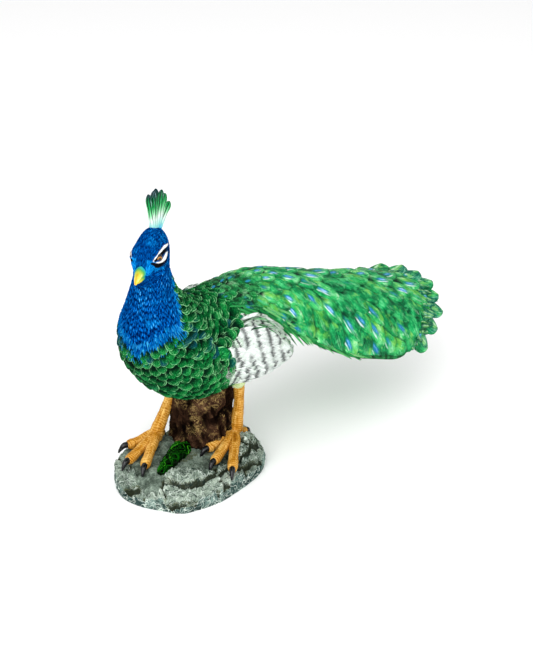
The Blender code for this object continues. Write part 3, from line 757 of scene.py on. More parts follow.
def barred_feathers():
    """White plumage with dark bars; fb's second value is how white, its third how dark the bar is."""
    paint = Paint("barred_feathers", 0.5, 0.1)
    t, w, random = paint.fa
    rim, white, dark = paint.fb
    hair = paint.noise(paint.join(w * 11, t * 2.2, random * 77), 1.6, 4, 0.7)
    fine = paint.noise(paint.place, 900, 2, 0.7)
    smudge = paint.noise(paint.place, 110, 2)
    soft = paint.noise(paint.place, 70, 2)
    pale = paint.ramp(hair, (0.28, 0.2, 0.27, 0.23), (0.41, 0.54, 0.62, 0.57), (0.57, 0.9, 0.95, 0.92))
    pale = paint.mix(paint.step(smudge, 0.54, 0.74) * 0.35, pale, (0.4, 0.56, 0.4))
    away = abs(t - 0.64 + (hair - 0.5) * 0.65)
    bar = paint.step(away, 0.14, 0.03) * paint.step(dark + soft * 0.9, 0.8, 1.04)
    colour = paint.mix(bar * 0.92, pale, (0.018, 0.022, 0.022))
    # Painted shade: the covered root of each feather is darkened
    colour = paint.mix(paint.step(t, 0.44, 0.26) * 0.75, colour, (0.1, 0.15, 0.11))
    green = paint.ramp(hair, (0.32, 0.002, 0.05, 0.012), (0.5, 0.012, 0.17, 0.04),
                       (0.66, 0.26, 0.52, 0.26))
    ragged = (hair - 0.5) * 1.6 + (fine - 0.5) * 0.4
    colour = paint.mix(paint.step(white + ragged, 0.62, 0.3), colour, green)
    edge = paint.step(rim, 0.55, 0.05) * paint.step(fine + smudge * 0.6, 0.72, 0.92)
    colour = paint.mix(edge * 0.9, colour, (0.94, 0.96, 0.93))
    black_tip = paint.step(dark, 1.4, 1.6) * paint.step(t, 0.8, 0.86)
    colour = paint.mix(black_tip, colour, (0.006, 0.008, 0.007))
    return paint.finish(colour, paint.bump(hair + fine * 0.3, 0.7))


def beak_paint():
    paint = Paint("beak_paint", 0.3, 0.4)
    t, ridge, _ = paint.fa
    cloud = paint.noise(paint.place, 260, 3)
    shift = (cloud - 0.5) * 0.3 + (ridge - 0.6) * 0.16
    colour = paint.ramp(t + shift, (0.1, 0, 0.2, 0.55), (0.22, 0.01, 0.38, 0.42),
                        (0.36, 0.06, 0.32, 0.06), (0.58, 0.46, 0.5, 0.04), (0.82, 0.8, 0.6, 0.05),
                        (0.98, 0.78, 0.44, 0.03))
    line = paint.step(ridge, 0.72, 0.98) * paint.step(t, 0.42, 0.62)
    colour = paint.mix(line * 0.8, colour, (0.42, 0.26, 0.01))
    # Painted highlight: a pale yellow band along the sides of the beak toward its tip
    side = paint.step(abs(ridge - 0.35), 0.35, 0.1) * paint.step(cloud, 0.4, 0.6)
    colour = paint.mix(side * paint.step(t, 0.4, 0.6) * 0.5, colour, (0.9, 0.86, 0.4))
    return paint.finish(colour, paint.bump(cloud, 0.15))


def eye_paint():
    """fa's first value is the distance from the pupil's middle, as a share of the eye."""
    paint = Paint("eye_paint", 0.08, 1, 0.03)
    away, turn, _ = paint.fa
    grain = paint.noise(paint.join(turn * 40, away, 0), 2, 3)
    colour = paint.ramp(away + (grain - 0.5) * 0.06, (0.28, 0.002, 0.002, 0.002),
                        (0.36, 0.1, 0.04, 0.006), (0.5, 0.46, 0.19, 0.02), (0.6, 0.08, 0.025, 0.004),
                        (0.68, 0.003, 0.002, 0.002))
    return paint.finish(colour)


def crest_paint():
    """fa: share of the feather's length, round, random; fb: depth in a groove, height share."""
    paint = Paint("crest_paint", 0.35, 0.3)
    t, around, random = paint.fa
    groove, height, _ = paint.fb
    streak = paint.noise(paint.join(around * 14, t * 1.8, random * 33), 1.6, 3, 0.6)
    level = height + (streak - 0.5) * 0.3
    low = paint.ramp(level, (0.02, 0, 0.08, 0.36), (0.13, 0.01, 0.4, 0.66), (0.26, 0.3, 0.68, 0.62),
                     (0.42, 0.74, 0.88, 0.78), (0.56, 0.2, 0.64, 0.3), (0.68, 0.004, 0.33, 0.07),
                     (0.86, 0, 0.13, 0.035), (0.97, 0, 0.016, 0.035))
    # Painted shade: the grooves of the clubs are darkened almost to black
    dark = paint.step(groove + streak * 0.4, 0.75, 0.35) * paint.step(height, 0.15, 0.6)
    colour = paint.mix(dark * 0.95, low, (0, 0.014, 0.008))
    shine = paint.step(streak, 0.58, 0.68) * paint.step(height, 0.55, 0.9)
    colour = paint.mix(shine * 0.75, colour, (0.42, 0.72, 0.7))
    return paint.finish(colour, paint.bump(streak, 0.35))


def leg_paint():
    """fa: share of the length, round, height of the scale rings; fb: pale thigh share, crease."""
    paint = Paint("leg_paint", 0.42, 0.2)
    t, around, ring = paint.fa
    thigh, crease, _ = paint.fb
    cloud = paint.noise(paint.place, 120, 3)
    fine = paint.noise(paint.place, 1100, 2, 0.7)
    veins = paint.noise(paint.join(around * 9, t * 2, cloud), 2, 3, 0.6)
    tone = ring * 0.2 + cloud * 0.42 + fine * 0.18 + veins * 0.46
    colour = paint.ramp(tone, (0.42, 0.06, 0.016, 0.001), (0.52, 0.26, 0.09, 0.006),
                        (0.66, 0.5, 0.215, 0.018), (0.84, 0.8, 0.5, 0.14))
    # The crease is painted dark brown, partly the brown wash of the paint and partly painted shade in the
    # groove
    colour = paint.mix(crease * 0.8, colour, (0.06, 0.016, 0.002))
    pale = paint.ramp(fine * 0.6 + cloud * 0.4, (0.3, 0.2, 0.38, 0.12), (0.5, 0.55, 0.68, 0.32),
                      (0.7, 0.85, 0.9, 0.62))
    colour = paint.mix(paint.step(thigh + (fine - 0.5) * 0.5, 0.4, 0.6), colour, pale)
    return paint.finish(colour, paint.bump(fine, 0.12))


def claw_paint():
    paint = Paint("claw_paint", 0.16, 0.7, 0.08)
    t, _, _ = paint.fa
    cloud = paint.noise(paint.place, 420, 3)
    colour = paint.ramp(cloud - t * 0.12, (0.35, 0.002, 0.002, 0.003), (0.62, 0.012, 0.012, 0.014),
                        (0.8, 0.1, 0.1, 0.11))
    return paint.finish(colour, paint.bump(cloud, 0.12))


def stump_paint():
    """fa: height of the bark, hollows, veins; painted dark and brushed with gold on what stands out, the
    hollows filled with painted shade.
    """
    paint = Paint("stump_paint", 0.6)
    ridge, hollow, vein = paint.fa
    cloud = paint.noise(paint.place, 55, 3)
    fine = paint.noise(paint.place, 800, 3, 0.7)
    fibre = paint.noise(paint.place, 240, 4, 0.7, 1.2)
    tone = ridge * 0.45 + fibre * 0.5 + fine * 0.15
    colour = paint.ramp(tone, (0.38, 0.0015, 0.001, 0.001), (0.5, 0.01, 0.005, 0.003),
                        (0.63, 0.044, 0.021, 0.012), (0.77, 0.14, 0.075, 0.04))
    lines = paint.math("MAXIMUM", paint.wrinkles(150, 0.016), paint.wrinkles(290, 0.022) * 0.9)
    lines = paint.math("MAXIMUM", lines, vein * 0.6)
    touched = paint.step(cloud + ridge * 0.25, 0.6, 0.72)
    gold = lines * touched * paint.step(fine, 0.36, 0.52)
    colour = paint.mix(gold * 0.9, colour, (0.52, 0.36, 0.13))
    # Painted shade: the hollows are made almost black
    colour = paint.mix(hollow * 0.9, colour, (0.002, 0.001, 0.001))
    return paint.finish(colour, paint.bump(fibre + lines * 0.3, 0.9), 0.55)


def moss_paint():
    paint = Paint("moss_paint", 0.5, 0.1)
    high, _, _ = paint.fa
    fine = paint.noise(paint.place, 900, 2, 0.7)
    # high is painted light: each frond is lighter on its upper side and darker beneath, and the bare mound at 0
    # is near-black painted shade between the fronds
    tone = high * 0.75 + fine * 0.3
    colour = paint.ramp(tone, (0.45, 0, 0.003, 0), (0.72, 0.001, 0.022, 0.001),
                        (0.84, 0.005, 0.13, 0.003), (0.93, 0.08, 0.46, 0.012))
    return paint.finish(colour, paint.bump(fine, 0.3))


def rock_paint():
    """fa: ridge height, crevice (painted dark as shade); fb: raised slab, wall (painted darker than the top as
    shade, and bluer), mossy.
    """
    paint = Paint("rock_paint", 0.62)
    ridge, crevice, _ = paint.fa
    slab, wall, mossy = paint.fb
    cloud = paint.noise(paint.place, 45, 4, 0.6)
    broad = paint.noise(paint.place, 34, 3)
    fine = paint.noise(paint.place, 700, 3, 0.75)
    tone = cloud * 0.65 + fine * 0.14 + ridge * 0.34
    colour = paint.ramp(tone, (0.3, 0.012, 0.022, 0.017), (0.42, 0.08, 0.108, 0.084),
                        (0.54, 0.22, 0.285, 0.23), (0.68, 0.48, 0.57, 0.47))
    # The walls take a bluer ramp that is also darker than the top's, as painted shade on the sides
    side = paint.ramp(tone, (0.32, 0.008, 0.018, 0.017), (0.46, 0.055, 0.095, 0.085),
                      (0.61, 0.19, 0.275, 0.24), (0.78, 0.52, 0.62, 0.55))
    colour = paint.mix(wall, colour, side)
    olive = paint.step(mossy + (broad - 0.5) * 1.4, 0.62, 0.95) * paint.step(fine, 0.38, 0.6)
    colour = paint.mix(olive * 0.72, colour, (0.09, 0.092, 0.022))
    # Painted shade: the cracks, the feet of the slabs and the steep faces are made almost black
    dark = paint.step(crevice + (fine - 0.5) * 0.4, 0.4, 0.9)
    colour = paint.mix(dark * 0.9, colour, (0.01, 0.013, 0.007))
    crackle = paint.math("MAXIMUM", paint.wrinkles(130, 0.02, 0.004),
                         paint.wrinkles(240, 0.03, 0.003) * 0.75)
    shadow = paint.wrinkles(160, 0.032, 0.004)
    where = paint.step(slab + (cloud - 0.5) * 1.3, 0.1, 0.75)
    colour = paint.mix(shadow * where * 0.88, colour, (0.014, 0.026, 0.022))
    open_rock = 1 - dark
    brushed = crackle * open_rock * (0.05 + where * 0.8)
    colour = paint.mix(brushed, colour, (0.72, 0.82, 0.73))
    height = fine * 0.5 + cloud * 0.4 + crackle * where * 0.5
    return paint.finish(colour, paint.bump(height, 0.8))


# The bird

def border(angle):
    """Share of the trunk at which the blue plumage ends, round the breast and the nape."""
    degrees = abs((np.degrees(angle) % 360) - 180)
    return np.interp(degrees, (0, 8, 26, 46, 66, 80, 92, 100, 110, 130, 180),
                     (.474, .476, .486, .487, .489, .470, .456, .480, .530, .575, .600))


def trunk_travel(angle, high=0.64, count=400):
    """Shares of the trunk from the neck down to the rump, and the distance travelled at each."""
    share = np.linspace(high, 0, count)
    line = trunk_point(share, np.full(count, angle))
    return share, lengths_along(line)


def whiteness(points):
    """How white the barred plumage of the flank is at a place, from 0 to 1."""
    x, y, z = points[..., 0], points[..., 1], points[..., 2]
    start = np.interp(z, (88, 100, 129, 146, 150), (13, 7, 9, 30, 58))
    wave = 12 * (noise(points / 8, 31) - 0.5)
    return smooth(-8, 8, y - start + wave) * smooth(152, 146, z)


def make_body():
    """The trunk's core under rows of raised scale feathers."""
    angle = np.linspace(0, 2 * math.pi, 97)[:-1]
    share = np.linspace(0, 0.47, 60)
    grid_share, grid_angle = np.meshgrid(share, angle, indexing="ij")
    core = trunk_point(grid_share, grid_angle)
    blank = np.zeros_like(core)
    # Painted shade: the core between the feathers gets a low along value, so it shows the near-black root
    # colour
    blank[..., 0] = 0.1
    parts = [closed_tube(core, blank, blank * 30)]
    share_row, travel = trunk_travel(math.pi / 2)
    spacing = 5.2
    columns = 31
    anchors = []
    for row in range(int(travel[-1] / spacing)):
        s = np.interp(row * spacing, travel, share_row)
        turn = (np.arange(columns) + 0.5 * (row % 2)) * 2 * math.pi / columns
        turn = turn + rng.uniform(-0.045, 0.045, columns)
        anchors.append(np.column_stack([s + rng.uniform(-0.006, 0.006, columns), turn]))
    anchors = np.concatenate(anchors)
    a, b = anchors.T
    keep = (a < border(b) + 0.010) & (a > 0.01)
    place = trunk_point(a, b)
    under_train = (place[:, 1] > 52) & (np.cos(b) > 0.72)
    a, b, place = (v[keep & ~under_train] for v in (a, b, place))
    along, across = slopes(trunk_point, a, b)
    row_gap = np.linalg.norm(along, axis=1) * spacing * 0.47 / travel[-1] * 1.3
    gap = np.linalg.norm(across, axis=1) * 2 * math.pi / columns
    length = np.clip(1.5 * row_gap + 5.5, 8, 15) * rng.uniform(0.85, 1.15, len(a))
    width = np.clip(1.42 * gap, 5, 12.5)
    white = whiteness(place) * (place[:, 2] > 92)
    teal = smooth(110, 140, place[:, 2]) * 0.9 + 0.25
    parts.append(feathers(trunk_point, TRUNK_SIGN, -1, a, b, length, width,
                          1.7 * rng.uniform(0.6, 1.4, len(a)), rng.uniform(-16, 16, len(a)),
                          extra=(white, teal), camber=0.7, columns=7))
    return add_piece("body_feathers", parts, PAINTS["green"], 50)


def face_marks(points):
    """(cyan, white, black) of the painted face at points of the head, the same on both sides."""
    local = turned(points, -HEAD_TURN)
    y, z = local[..., 1], local[..., 2]
    side = abs(local[..., 0])
    on_side = smooth(3.5, 5.0, side)

    def band(corners, half):
        """Inside a stroke along corners (y, z, half width share)."""
        nearest = np.full(y.shape, 9.0)
        for (y0, z0, r0), (y1, z1, r1) in zip(corners[:-1], corners[1:]):
            length = (y1 - y0) ** 2 + (z1 - z0) ** 2
            part = np.clip(((y - y0) * (y1 - y0) + (z - z0) * (z1 - z0)) / length, 0, 1)
            away = np.hypot(y - y0 - part * (y1 - y0), z - z0 - part * (z1 - z0))
            nearest = np.minimum(nearest, away - half * (r0 + part * (r1 - r0)))
        return smooth(0.25, -0.2, nearest)

    brow, lid, wedge, lower, rim, lore = (band(corners, half) for corners, half in FACE_BANDS)
    black = np.maximum(lid, lower) * on_side
    white = np.maximum(brow, wedge) * (1 - np.maximum(lid, lower)) * on_side
    cyan = np.maximum(rim, lore * 0.9) * on_side
    return cyan, white, black


def stroke_field(travel, around, length, count, seed):
    """Height 0 to 1 of short overlapping hair strokes; around runs from 0 to 1 about the neck."""
    wave = 1.2 * (noise(np.stack([travel / 14, around * 26, 0 * travel], -1), seed + 5) - 0.5)
    column = around * count + wave
    cell = np.floor(column)
    across = column - cell
    shift = hashed(np.stack([cell % count, 0 * cell, 0 * cell], -1), seed)
    line = travel / length + shift * 7
    row = np.floor(line)
    part_way = line - row
    size = hashed(np.stack([cell % count, row, 0 * row], -1), seed + 1)
    ridge = np.sin(math.pi * across) ** 0.8
    swell = smooth(0, 0.35, part_way) * smooth(1.0, 0.72, part_way)
    return ridge * swell * (0.35 + 0.65 * size)


def make_neck():
    """The blue neck and head in brushed strokes, with the painted face and the bulge of the eyes."""
    around = 286
    rows_fine, rows_coarse = 146, 165
    share = np.concatenate([np.linspace(0.39, 0.70, rows_coarse)[:-1], np.linspace(0.70, 1.0, rows_fine)])
    angle = np.arange(around) * 2 * math.pi / around
    s, g = np.meshgrid(share, angle, indexing="ij")
    base = trunk_point(s, g)
    normal = normal_of(trunk_point, s, g, TRUNK_SIGN)
    travel = np.concatenate([np.zeros((1, around)),
                             np.cumsum(np.linalg.norm(np.diff(base, axis=0), axis=2), axis=0)])
    turn = g / (2 * math.pi)
    girth = np.linalg.norm(np.diff(base, axis=1, append=base[:, :1]), axis=2).sum(1)[:, None]
    wide = stroke_field(travel, turn, 7.5, 110, 3)
    narrow = stroke_field(travel, turn, 5.0, 70, 9)
    blend = smooth(150, 100, girth) + 0 * wide
    stroke = wide * (1 - blend) + narrow * blend
    finer = stroke_field(travel, turn, 4.0, 190, 21)
    head = smooth(0.70, 0.78, s)
    stroke = (0.45 * stroke + 0.55 * finer) * (1 - 0.42 * head) + 0.14 * head
    cyan, white, black = face_marks(base)
    face = np.maximum(white, black) * head
    crown = smooth(214, 222, base[..., 2]) * smooth(0.80, 0.72, s)
    bound = border(g)
    low_edge = smooth(0.055, 0.0, s - bound)
    mottled = layered(base / 7.0, 3, 41)
    cyan_all = np.clip(cyan * head + 0.55 * low_edge * smooth(0.45, 0.7, mottled)
                       + 0.8 * crown + 0.30 * smooth(0.66, 0.80, mottled + 0.12 * head), 0, 1)
    mane = smooth(110, 60, np.degrees(np.minimum(g, 2 * math.pi - g))) * smooth(0.72, 0.6, s)
    cyan_all = np.clip(cyan_all + 0.25 * mane, 0, 1)
    lift = (0.55 * stroke + 0.5) * (1 - face) + 0.45 * face
    lift = lift + 0.5 * white * head - 0.2 * black * head
    local = turned(base, -HEAD_TURN)
    on_side = smooth(3, 7, abs(local[..., 0])) * head
    socket = np.exp(-((local[..., 1:] - EYE_CENTRE[1:]) ** 2).sum(-1) / 9)
    bulge = np.exp(-(((local[..., 1:] - (-37.5, 208.5)) / 6.5) ** 2).sum(-1))
    lift = lift + (2.0 * bulge - 0.5 * socket) * on_side
    lift = lift * smooth(0.0, 0.02, s - bound + 0.02) * smooth(1.0, 0.985, s) - 0.2
    points = turned(base + normal * lift[..., None], -HEAD_TURN)
    narrow = np.exp(-((points[..., 2] - 198.5) / 5.5) ** 2) * smooth(-27, -36, points[..., 1]) * head
    points[..., 0] *= 1 - 0.26 * narrow
    points = turned(points, HEAD_TURN)
    fa = np.stack([stroke, travel, turn], -1)
    fb = np.stack([cyan_all, white * head, black * head], -1)
    return add_piece("neck_and_head", [closed_tube(points, fa, fb)], PAINTS["blue"])


def make_locks():
    """Loose ends of the neck's plumage that hang over the first green feathers."""
    a, b = [], []
    for row in range(6):
        count = 170
        turn = (np.arange(count) + rng.uniform(-0.4, 0.4, count)) * 2 * math.pi / count
        a.append(border(turn) + 0.034 - row * 0.008 + rng.uniform(-0.006, 0.006, count))
        b.append(turn)
    a, b = np.concatenate(a), np.concatenate(b)
    cyan = np.clip(0.35 + rng.uniform(-0.35, 0.45, len(a)) + 0.25 * smooth(0.02, -0.005, a - border(b)), 0, 1)
    return add_piece("neck_fringe", [feathers(
        trunk_point, TRUNK_SIGN, -1, a, b, rng.uniform(5, 9, len(a)), rng.uniform(0.9, 1.5, len(a)),
        rng.uniform(1.0, 1.8, len(a)), rng.uniform(-16, 16, len(a)), "lock", 3, 0.35,
        extra=(cyan, cyan), depth=0.6)], PAINTS["locks"])


def make_train():
    """The train's thick sheet, its rows of long feathers and the loose strands of its edges."""
    share = np.linspace(0, 1, 90)
    across = np.linspace(-1, 1, 61)
    s, c = np.meshgrid(share, across, indexing="ij")
    top = train_point(s, c)
    up = normal_of(train_point, s, c * 0.999, TRAIN_SIGN)
    thick = blend_rows(TRAIN, s * (len(TRAIN) - 1))[..., 4]
    under = top - up * (thick * np.sqrt(np.clip(1 - (0.93 * c) ** 2, 0, 1)))[..., None]
    ribs = 0.6 * np.sin(c * 60 + 3 * s * np.sign(c)) * smooth(1, 0.8, abs(c))
    under = under - up * ribs[..., None]
    rings = np.concatenate([top, under[:, 1:-1][:, ::-1]], axis=1)
    below = np.arange(rings.shape[1]) >= len(across)
    both_sides = np.concatenate([c, c[:, 1:-1][:, ::-1]], axis=1)
    fa = coords(0.62, both_sides * 9, 0.7 * below)
    parts = [closed_tube(rings, fa, coords(3 + 0 * both_sides, 0, below))]
    ridge = train_point(np.linspace(0, 1, 400), np.zeros(400))
    travel = lengths_along(ridge)
    a, b, size = [], [], []
    at, number = 3.0, 0
    while at < travel[-1] - 2:
        s = np.interp(at, travel, np.linspace(0, 1, 400))
        grown = smooth(15, 110, at)
        gap_across = 7.0 + 8.5 * grown
        line = train_point(np.full(201, s), np.linspace(-1, 1, 201))
        arc = lengths_along(line)
        count = int(arc[-1] / gap_across)
        spots = (np.arange(count) + (0.25 if number % 2 else 0.75)) / count
        spots = spots[(spots > 0.02) & (spots < 0.98)]
        cs = np.interp(spots * arc[-1], arc, np.linspace(-1, 1, 201))
        cs = cs + rng.uniform(-0.02, 0.02, len(cs))
        a.append(np.full(len(cs), s) + rng.uniform(-0.004, 0.004, len(cs)))
        b.append(cs)
        size.append(np.full(len(cs), grown))
        at += 5.6 + 12.0 * grown
        number += 1
    a, b, grown = (np.concatenate(v) for v in (a, b, size))
    twist = TRAIN_TWIST * np.sign(b) * (8 + 38 * smooth(0.0, 0.6, abs(b))) * (0.5 + 0.5 * grown)
    twist = twist * smooth(1.02, 0.80, abs(b)) + rng.uniform(-8, 8, len(a))
    inner = abs(b) < 0.94
    a, b, grown, twist = (values[inner] for values in (a, b, grown, twist))
    length = (12 + 23 * grown) * rng.uniform(0.90, 1.12, len(a))
    width = (9.5 + 10.0 * grown) * rng.uniform(0.90, 1.10, len(a))
    parts.append(feathers(train_point, TRAIN_SIGN, 1, a, b, length, width,
                          (1.4 + 1.8 * grown) * rng.uniform(0.8, 1.2, len(a)), twist, "lobe",
                          camber=1.7, extra=(grown, 0 * a), depth=1.0, limits=((0, 0.999), (-0.97, 0.97))))
    parts += edge_strands()
    return add_piece("train", held_in(parts), PAINTS["train"], 50)


def held_in(parts):
    """Parts with the points that would pass the cast's widest places drawn in softly."""
    low, high, knee = TRAIN_REACH
    for entry in parts:
        x = entry["points"][..., 0]
        over, under = np.maximum(x - high + knee, 0), np.maximum(low + knee - x, 0)
        x[...] += knee * (1 - np.exp(-over / knee)) - over
        x[...] -= knee * (1 - np.exp(-under / knee)) - under
    return parts


def spike(start, run, lift, length, width, size, edge):
    """One thin pointed strand from start along run, bent by lift at its end."""
    along = np.array([0, 0.35, 0.7, 1.0])
    path = start + np.outer(along * length, run) + np.outer(along ** 2 * length * 0.12, lift)
    half_width, half_depth = np.array([0.7, 1, 0.75, 0.08]), np.array([0.4, 0.5, 0.4, 0.08])
    rings, angle, t = tube(path, width * half_width, width * half_depth, lift, 6, 7)
    w = np.cos(angle)
    return closed_tube(rings, coords(0.4 + 0.6 * t, w, rng.random()), coords(width * (1 - abs(w)), size, edge))


def edge_strands():
    """Loose narrow feathers along both lower edges of the train, in layers."""
    parts = []
    for side in (1, -1):
        for number in range(EDGE_STRANDS):
            share = 0.05 + 0.52 * (number / EDGE_STRANDS) ** 1.25 + rng.uniform(-0.01, 0.01)
            front = float(smooth(0.40, 0.15, share))
            across = side * (0.98 - (0.14 + 0.16 * front) * rng.random() ** 1.4)
            at_share, at_across = np.array(share), np.array(across)
            start = train_point(at_share, at_across)
            up = normal_of(train_point, at_share, at_across, TRAIN_SIGN)
            ahead = unit(train_point(at_share + 0.01, at_across) - start)
            outward = unit(np.cross(ahead, up)) * side
            flare = rng.uniform(0.04, 0.16 + 0.40 * front) * (1.2 if abs(across) > 0.9 else 0.7)
            run = unit(ahead + outward * flare)
            parts.append(spike(start + up * rng.uniform(0.4, 2.4) - ahead * 4, run, -up * 0.8 + outward * 0.2,
                               rng.uniform(13, 21 + 7 * front), rng.uniform(0.7, 1.35), 1.0, 1.0))
    return parts


def tip_feather(number):
    """One rounded feather that stands out past the train's end."""
    across = np.array(-0.84 + 1.68 * number / (TIP_FEATHERS - 1))
    edge = train_point(np.array(1.0), across)
    sideways = train_point(np.array(1.0), across + 0.01) - edge
    normal = normal_of(train_point, np.array(0.94), across * 0.9, -1)
    outward = np.cross(normal, sideways)
    outward *= math.copysign(1, outward[1]) / np.linalg.norm(outward)
    run = unit(outward + np.array([0, 0.35, 0]))
    along = np.array([0, 0.3, 0.58, 0.8, 0.93, 1.0])
    half_width = np.array([6.0, 9.5, 11.0, 9.8, 6.0, 1.4]) * 0.98
    half_depth = np.array([2.0, 2.3, 2.2, 1.9, 1.4, 0.6]) * 0.9
    length = 36 + 5 * (number % 2)
    flare = 5.5 - 6.0 * float(across)
    path = edge + np.outer((along - 0.58) * length, run) + np.outer(flare * along ** 3 - 1.0, normal)
    rings, angle, t = tube(path, half_width, half_depth, normal, 32, 40)
    w, up = np.cos(angle), np.sin(angle)
    groove = 0.35 * np.exp(-(w / 0.07) ** 2) + 0.14 * abs(np.sin(22 * t + 10 * abs(w)))
    groove = groove * smooth(0.1, 0.4, up) * smooth(0, 0.2, t) * smooth(1, 0.9, t)
    wide = blend_rows(half_width[:, None], np.linspace(0, 5, 40))[:, 0][:, None]
    rim = np.minimum((1 - abs(w)) * wide, (1 - t) * length)
    random = 0.20 + 0.75 * hashed(np.array([number, 3, 5]), 2)
    return closed_tube(rings - groove[..., None] * normal, coords(0.35 + 0.65 * t, w, random),
                       coords(rim, 1.3, 0.35 * smooth(0.1, -0.3, up)))


def make_tips():
    """Rounded feathers at the train's end, and loose strands between them."""
    parts = [tip_feather(number) for number in range(TIP_FEATHERS)]
    for across in np.linspace(0.15, 0.93, 16):
        at_across = np.array(across)
        edge = train_point(np.array(0.995), at_across)
        ahead = unit(edge - train_point(np.array(0.97), at_across))
        up = normal_of(train_point, np.array(0.97), at_across, TRAIN_SIGN)
        run = unit(ahead + np.cross(up, ahead) * rng.uniform(-0.35, 0.1))
        parts.append(spike(edge - ahead * 8 + up * 2.0, run, up, rng.uniform(15, 22), rng.uniform(1.8, 2.8),
                           1.3, 0.0))
    return add_piece("train_tips", held_in(parts), PAINTS["train"], 50)


def make_wing(side):
    """A wing's thick plate with green scales in front and barred feathers behind."""
    keep_side = mirrored if side == "right" else None
    share = np.linspace(0, 1, 60)
    across = np.linspace(0, 1, 50)
    s, c = np.meshgrid(share, across, indexing="ij")
    outer = wing_point(s, c)
    inner = outer - normal_of(wing_point, s, c, WING_SIGN) * WING_DEPTH
    rings = np.concatenate([outer, inner[:, 1:-1][:, ::-1]], axis=1)
    white = np.concatenate([whiteness(outer), whiteness(outer)[:, 1:-1][:, ::-1]], axis=1)
    if keep_side:
        rings = keep_side(rings)
    fa = np.zeros_like(rings)
    fa[..., 0] = 0.5
    fb = np.stack([3 + 0 * white, white, 0 * white], -1)
    parts = [closed_tube(rings, fa, fb)]
    travel = lengths_along(wing_point(np.linspace(0, 1, 300), np.full(300, 0.5)))

    def rows_of(gap, spread, first, last, slant, jitter):
        """Anchors of rows from shoulder to tip, and how white the plumage is at each."""
        a, b = [], []
        at, number = first, 0
        while at < travel[-1] + last:
            s = np.interp(at, travel, np.linspace(0, 1, 300)) + max(0, at - travel[-1]) / travel[-1]
            arc = lengths_along(wing_point(np.full(60, min(s, 1)), np.linspace(0, 1, 60)))[-1]
            count = max(2, int(arc / spread))
            spots = (np.arange(count) + (0.3 if number % 2 else 0.7)) / count
            spots = spots + rng.uniform(-0.015, 0.015, count)
            a.append(s + slant * smooth(0.35, 1.0, spots) + rng.uniform(-jitter, jitter, count))
            b.append(spots)
            at += gap
            number += 1
        a, b = np.concatenate(a), np.concatenate(b)
        a, b = a[a < 0.985], b[a < 0.985]
        return np.stack([a, b, whiteness(wing_point(a, b))])

    rows = rows_of(5.2, 6.5, 0.0, 0, 0.0, 0.014)
    a, b, white = rows[:, rows[2] < 0.80]
    green = feathers(wing_point, WING_SIGN, 1, a, b, rng.uniform(10, 12.5, len(a)), rng.uniform(8, 10, len(a)),
                     1.7 * rng.uniform(0.6, 1.4, len(a)), rng.uniform(-16, 16, len(a)),
                     extra=(white * 0.9, 0.8 + 0 * white), keep_side=keep_side, camber=0.7)
    rows = rows_of(10.4, 4.4, 5.0, -5, 0.19, 0.004)
    a, b, white = rows[:, rows[2] > 0.45]
    primary_a = np.array([0.80, 0.86, 0.90, 0.93, 0.92, 0.86, 0.78])
    primary_b = np.array([0.30, 0.42, 0.53, 0.63, 0.74, 0.84, 0.90])
    primary_tone = np.array([0.2, 0.9, 0.3, 2.0, 0.8, 0.9, 0.3])
    primaries = feathers(wing_point, WING_SIGN, 1, primary_a, primary_b, 23.0, 10.0, 2.6,
                         np.linspace(-14, 10, 7), "blade", extra=(np.ones(7), primary_tone),
                         keep_side=keep_side, camber=0.9, fringe=0.05, limits=((0, 1), (0, 1)))
    pale = feathers(wing_point, WING_SIGN, 1, a, b, rng.uniform(18, 20.5, len(a)), rng.uniform(6, 8.5, len(a)),
                    2.0 * rng.uniform(0.5, 1.5, len(a)), rng.uniform(-7, 7, len(a)) + 4, "blade",
                    extra=(white, rng.uniform(0.45, 1.0, len(a))), keep_side=keep_side, camber=0.5, fringe=0.10,
                    limits=((0, 1), (0, 1)))
    top_a = np.repeat(np.linspace(0.42, 0.99, 30), 3) + rng.uniform(-0.015, 0.015, 90)
    top_b = np.tile((0.015, 0.07, 0.13), 30) + rng.uniform(-0.015, 0.03, 90) + 0.22 * smooth(0.65, 1.0, top_a)
    fringe = feathers(wing_point, WING_SIGN, 1, top_a, top_b, rng.uniform(15, 24, 90),
                      rng.uniform(2.2, 3.6, 90), 2.6 * rng.uniform(0.6, 1.3, 90), rng.uniform(-24, 4, 90),
                      "blade", extra=(rng.uniform(0.30, 0.90, 90), 0.1 + np.zeros(90)), keep_side=keep_side,
                      camber=0.6, fringe=0.08, columns=5, limits=((0, 1), (0, 1)))
    add_piece(f"{side}_wing_scales", [green, fringe], PAINTS["green"], 50)
    return add_piece(f"{side}_wing", parts + [pale, primaries], PAINTS["barred"], 50)


def make_beak():
    """The upper and the lower half, the upper one narrowed to a ridge."""
    halves = (
        (((-43, 201.6), (-48, 200.5), (-52, 198.9), (-55, 197), (-56.8, 195.2)),
         (5.5, 4.2, 2.9, 1.7, 0.7), (4.9, 4.0, 3.0, 1.9, 0.7)),
        (((-43, 198.2), (-48.5, 197.4), (-52, 196.4), (-54.4, 195.6)),
         (4.8, 3.5, 2.3, 1.0), (3.8, 3.0, 2.1, 0.9)))
    parts = []
    for lower, (path, widths, heights) in enumerate(halves):
        path = turned(np.array([(0, y, z) for y, z in path], float), HEAD_TURN)
        rings, angle, t = tube(path, widths, heights, (0, 0, 1), 40, 44)
        flat = (rings - rings.mean(axis=1, keepdims=True)) * (1, 1, 0)
        narrowing = 0.42 * np.clip(np.sin(angle), 0, 1) ** 1.5 * (1 - lower)
        parts.append(closed_tube(rings - flat * narrowing[..., None],
                                 coords(t, np.sin(angle) * (0.4 if lower else 1), lower)))
    return add_piece("beak", parts, PAINTS["beak"])


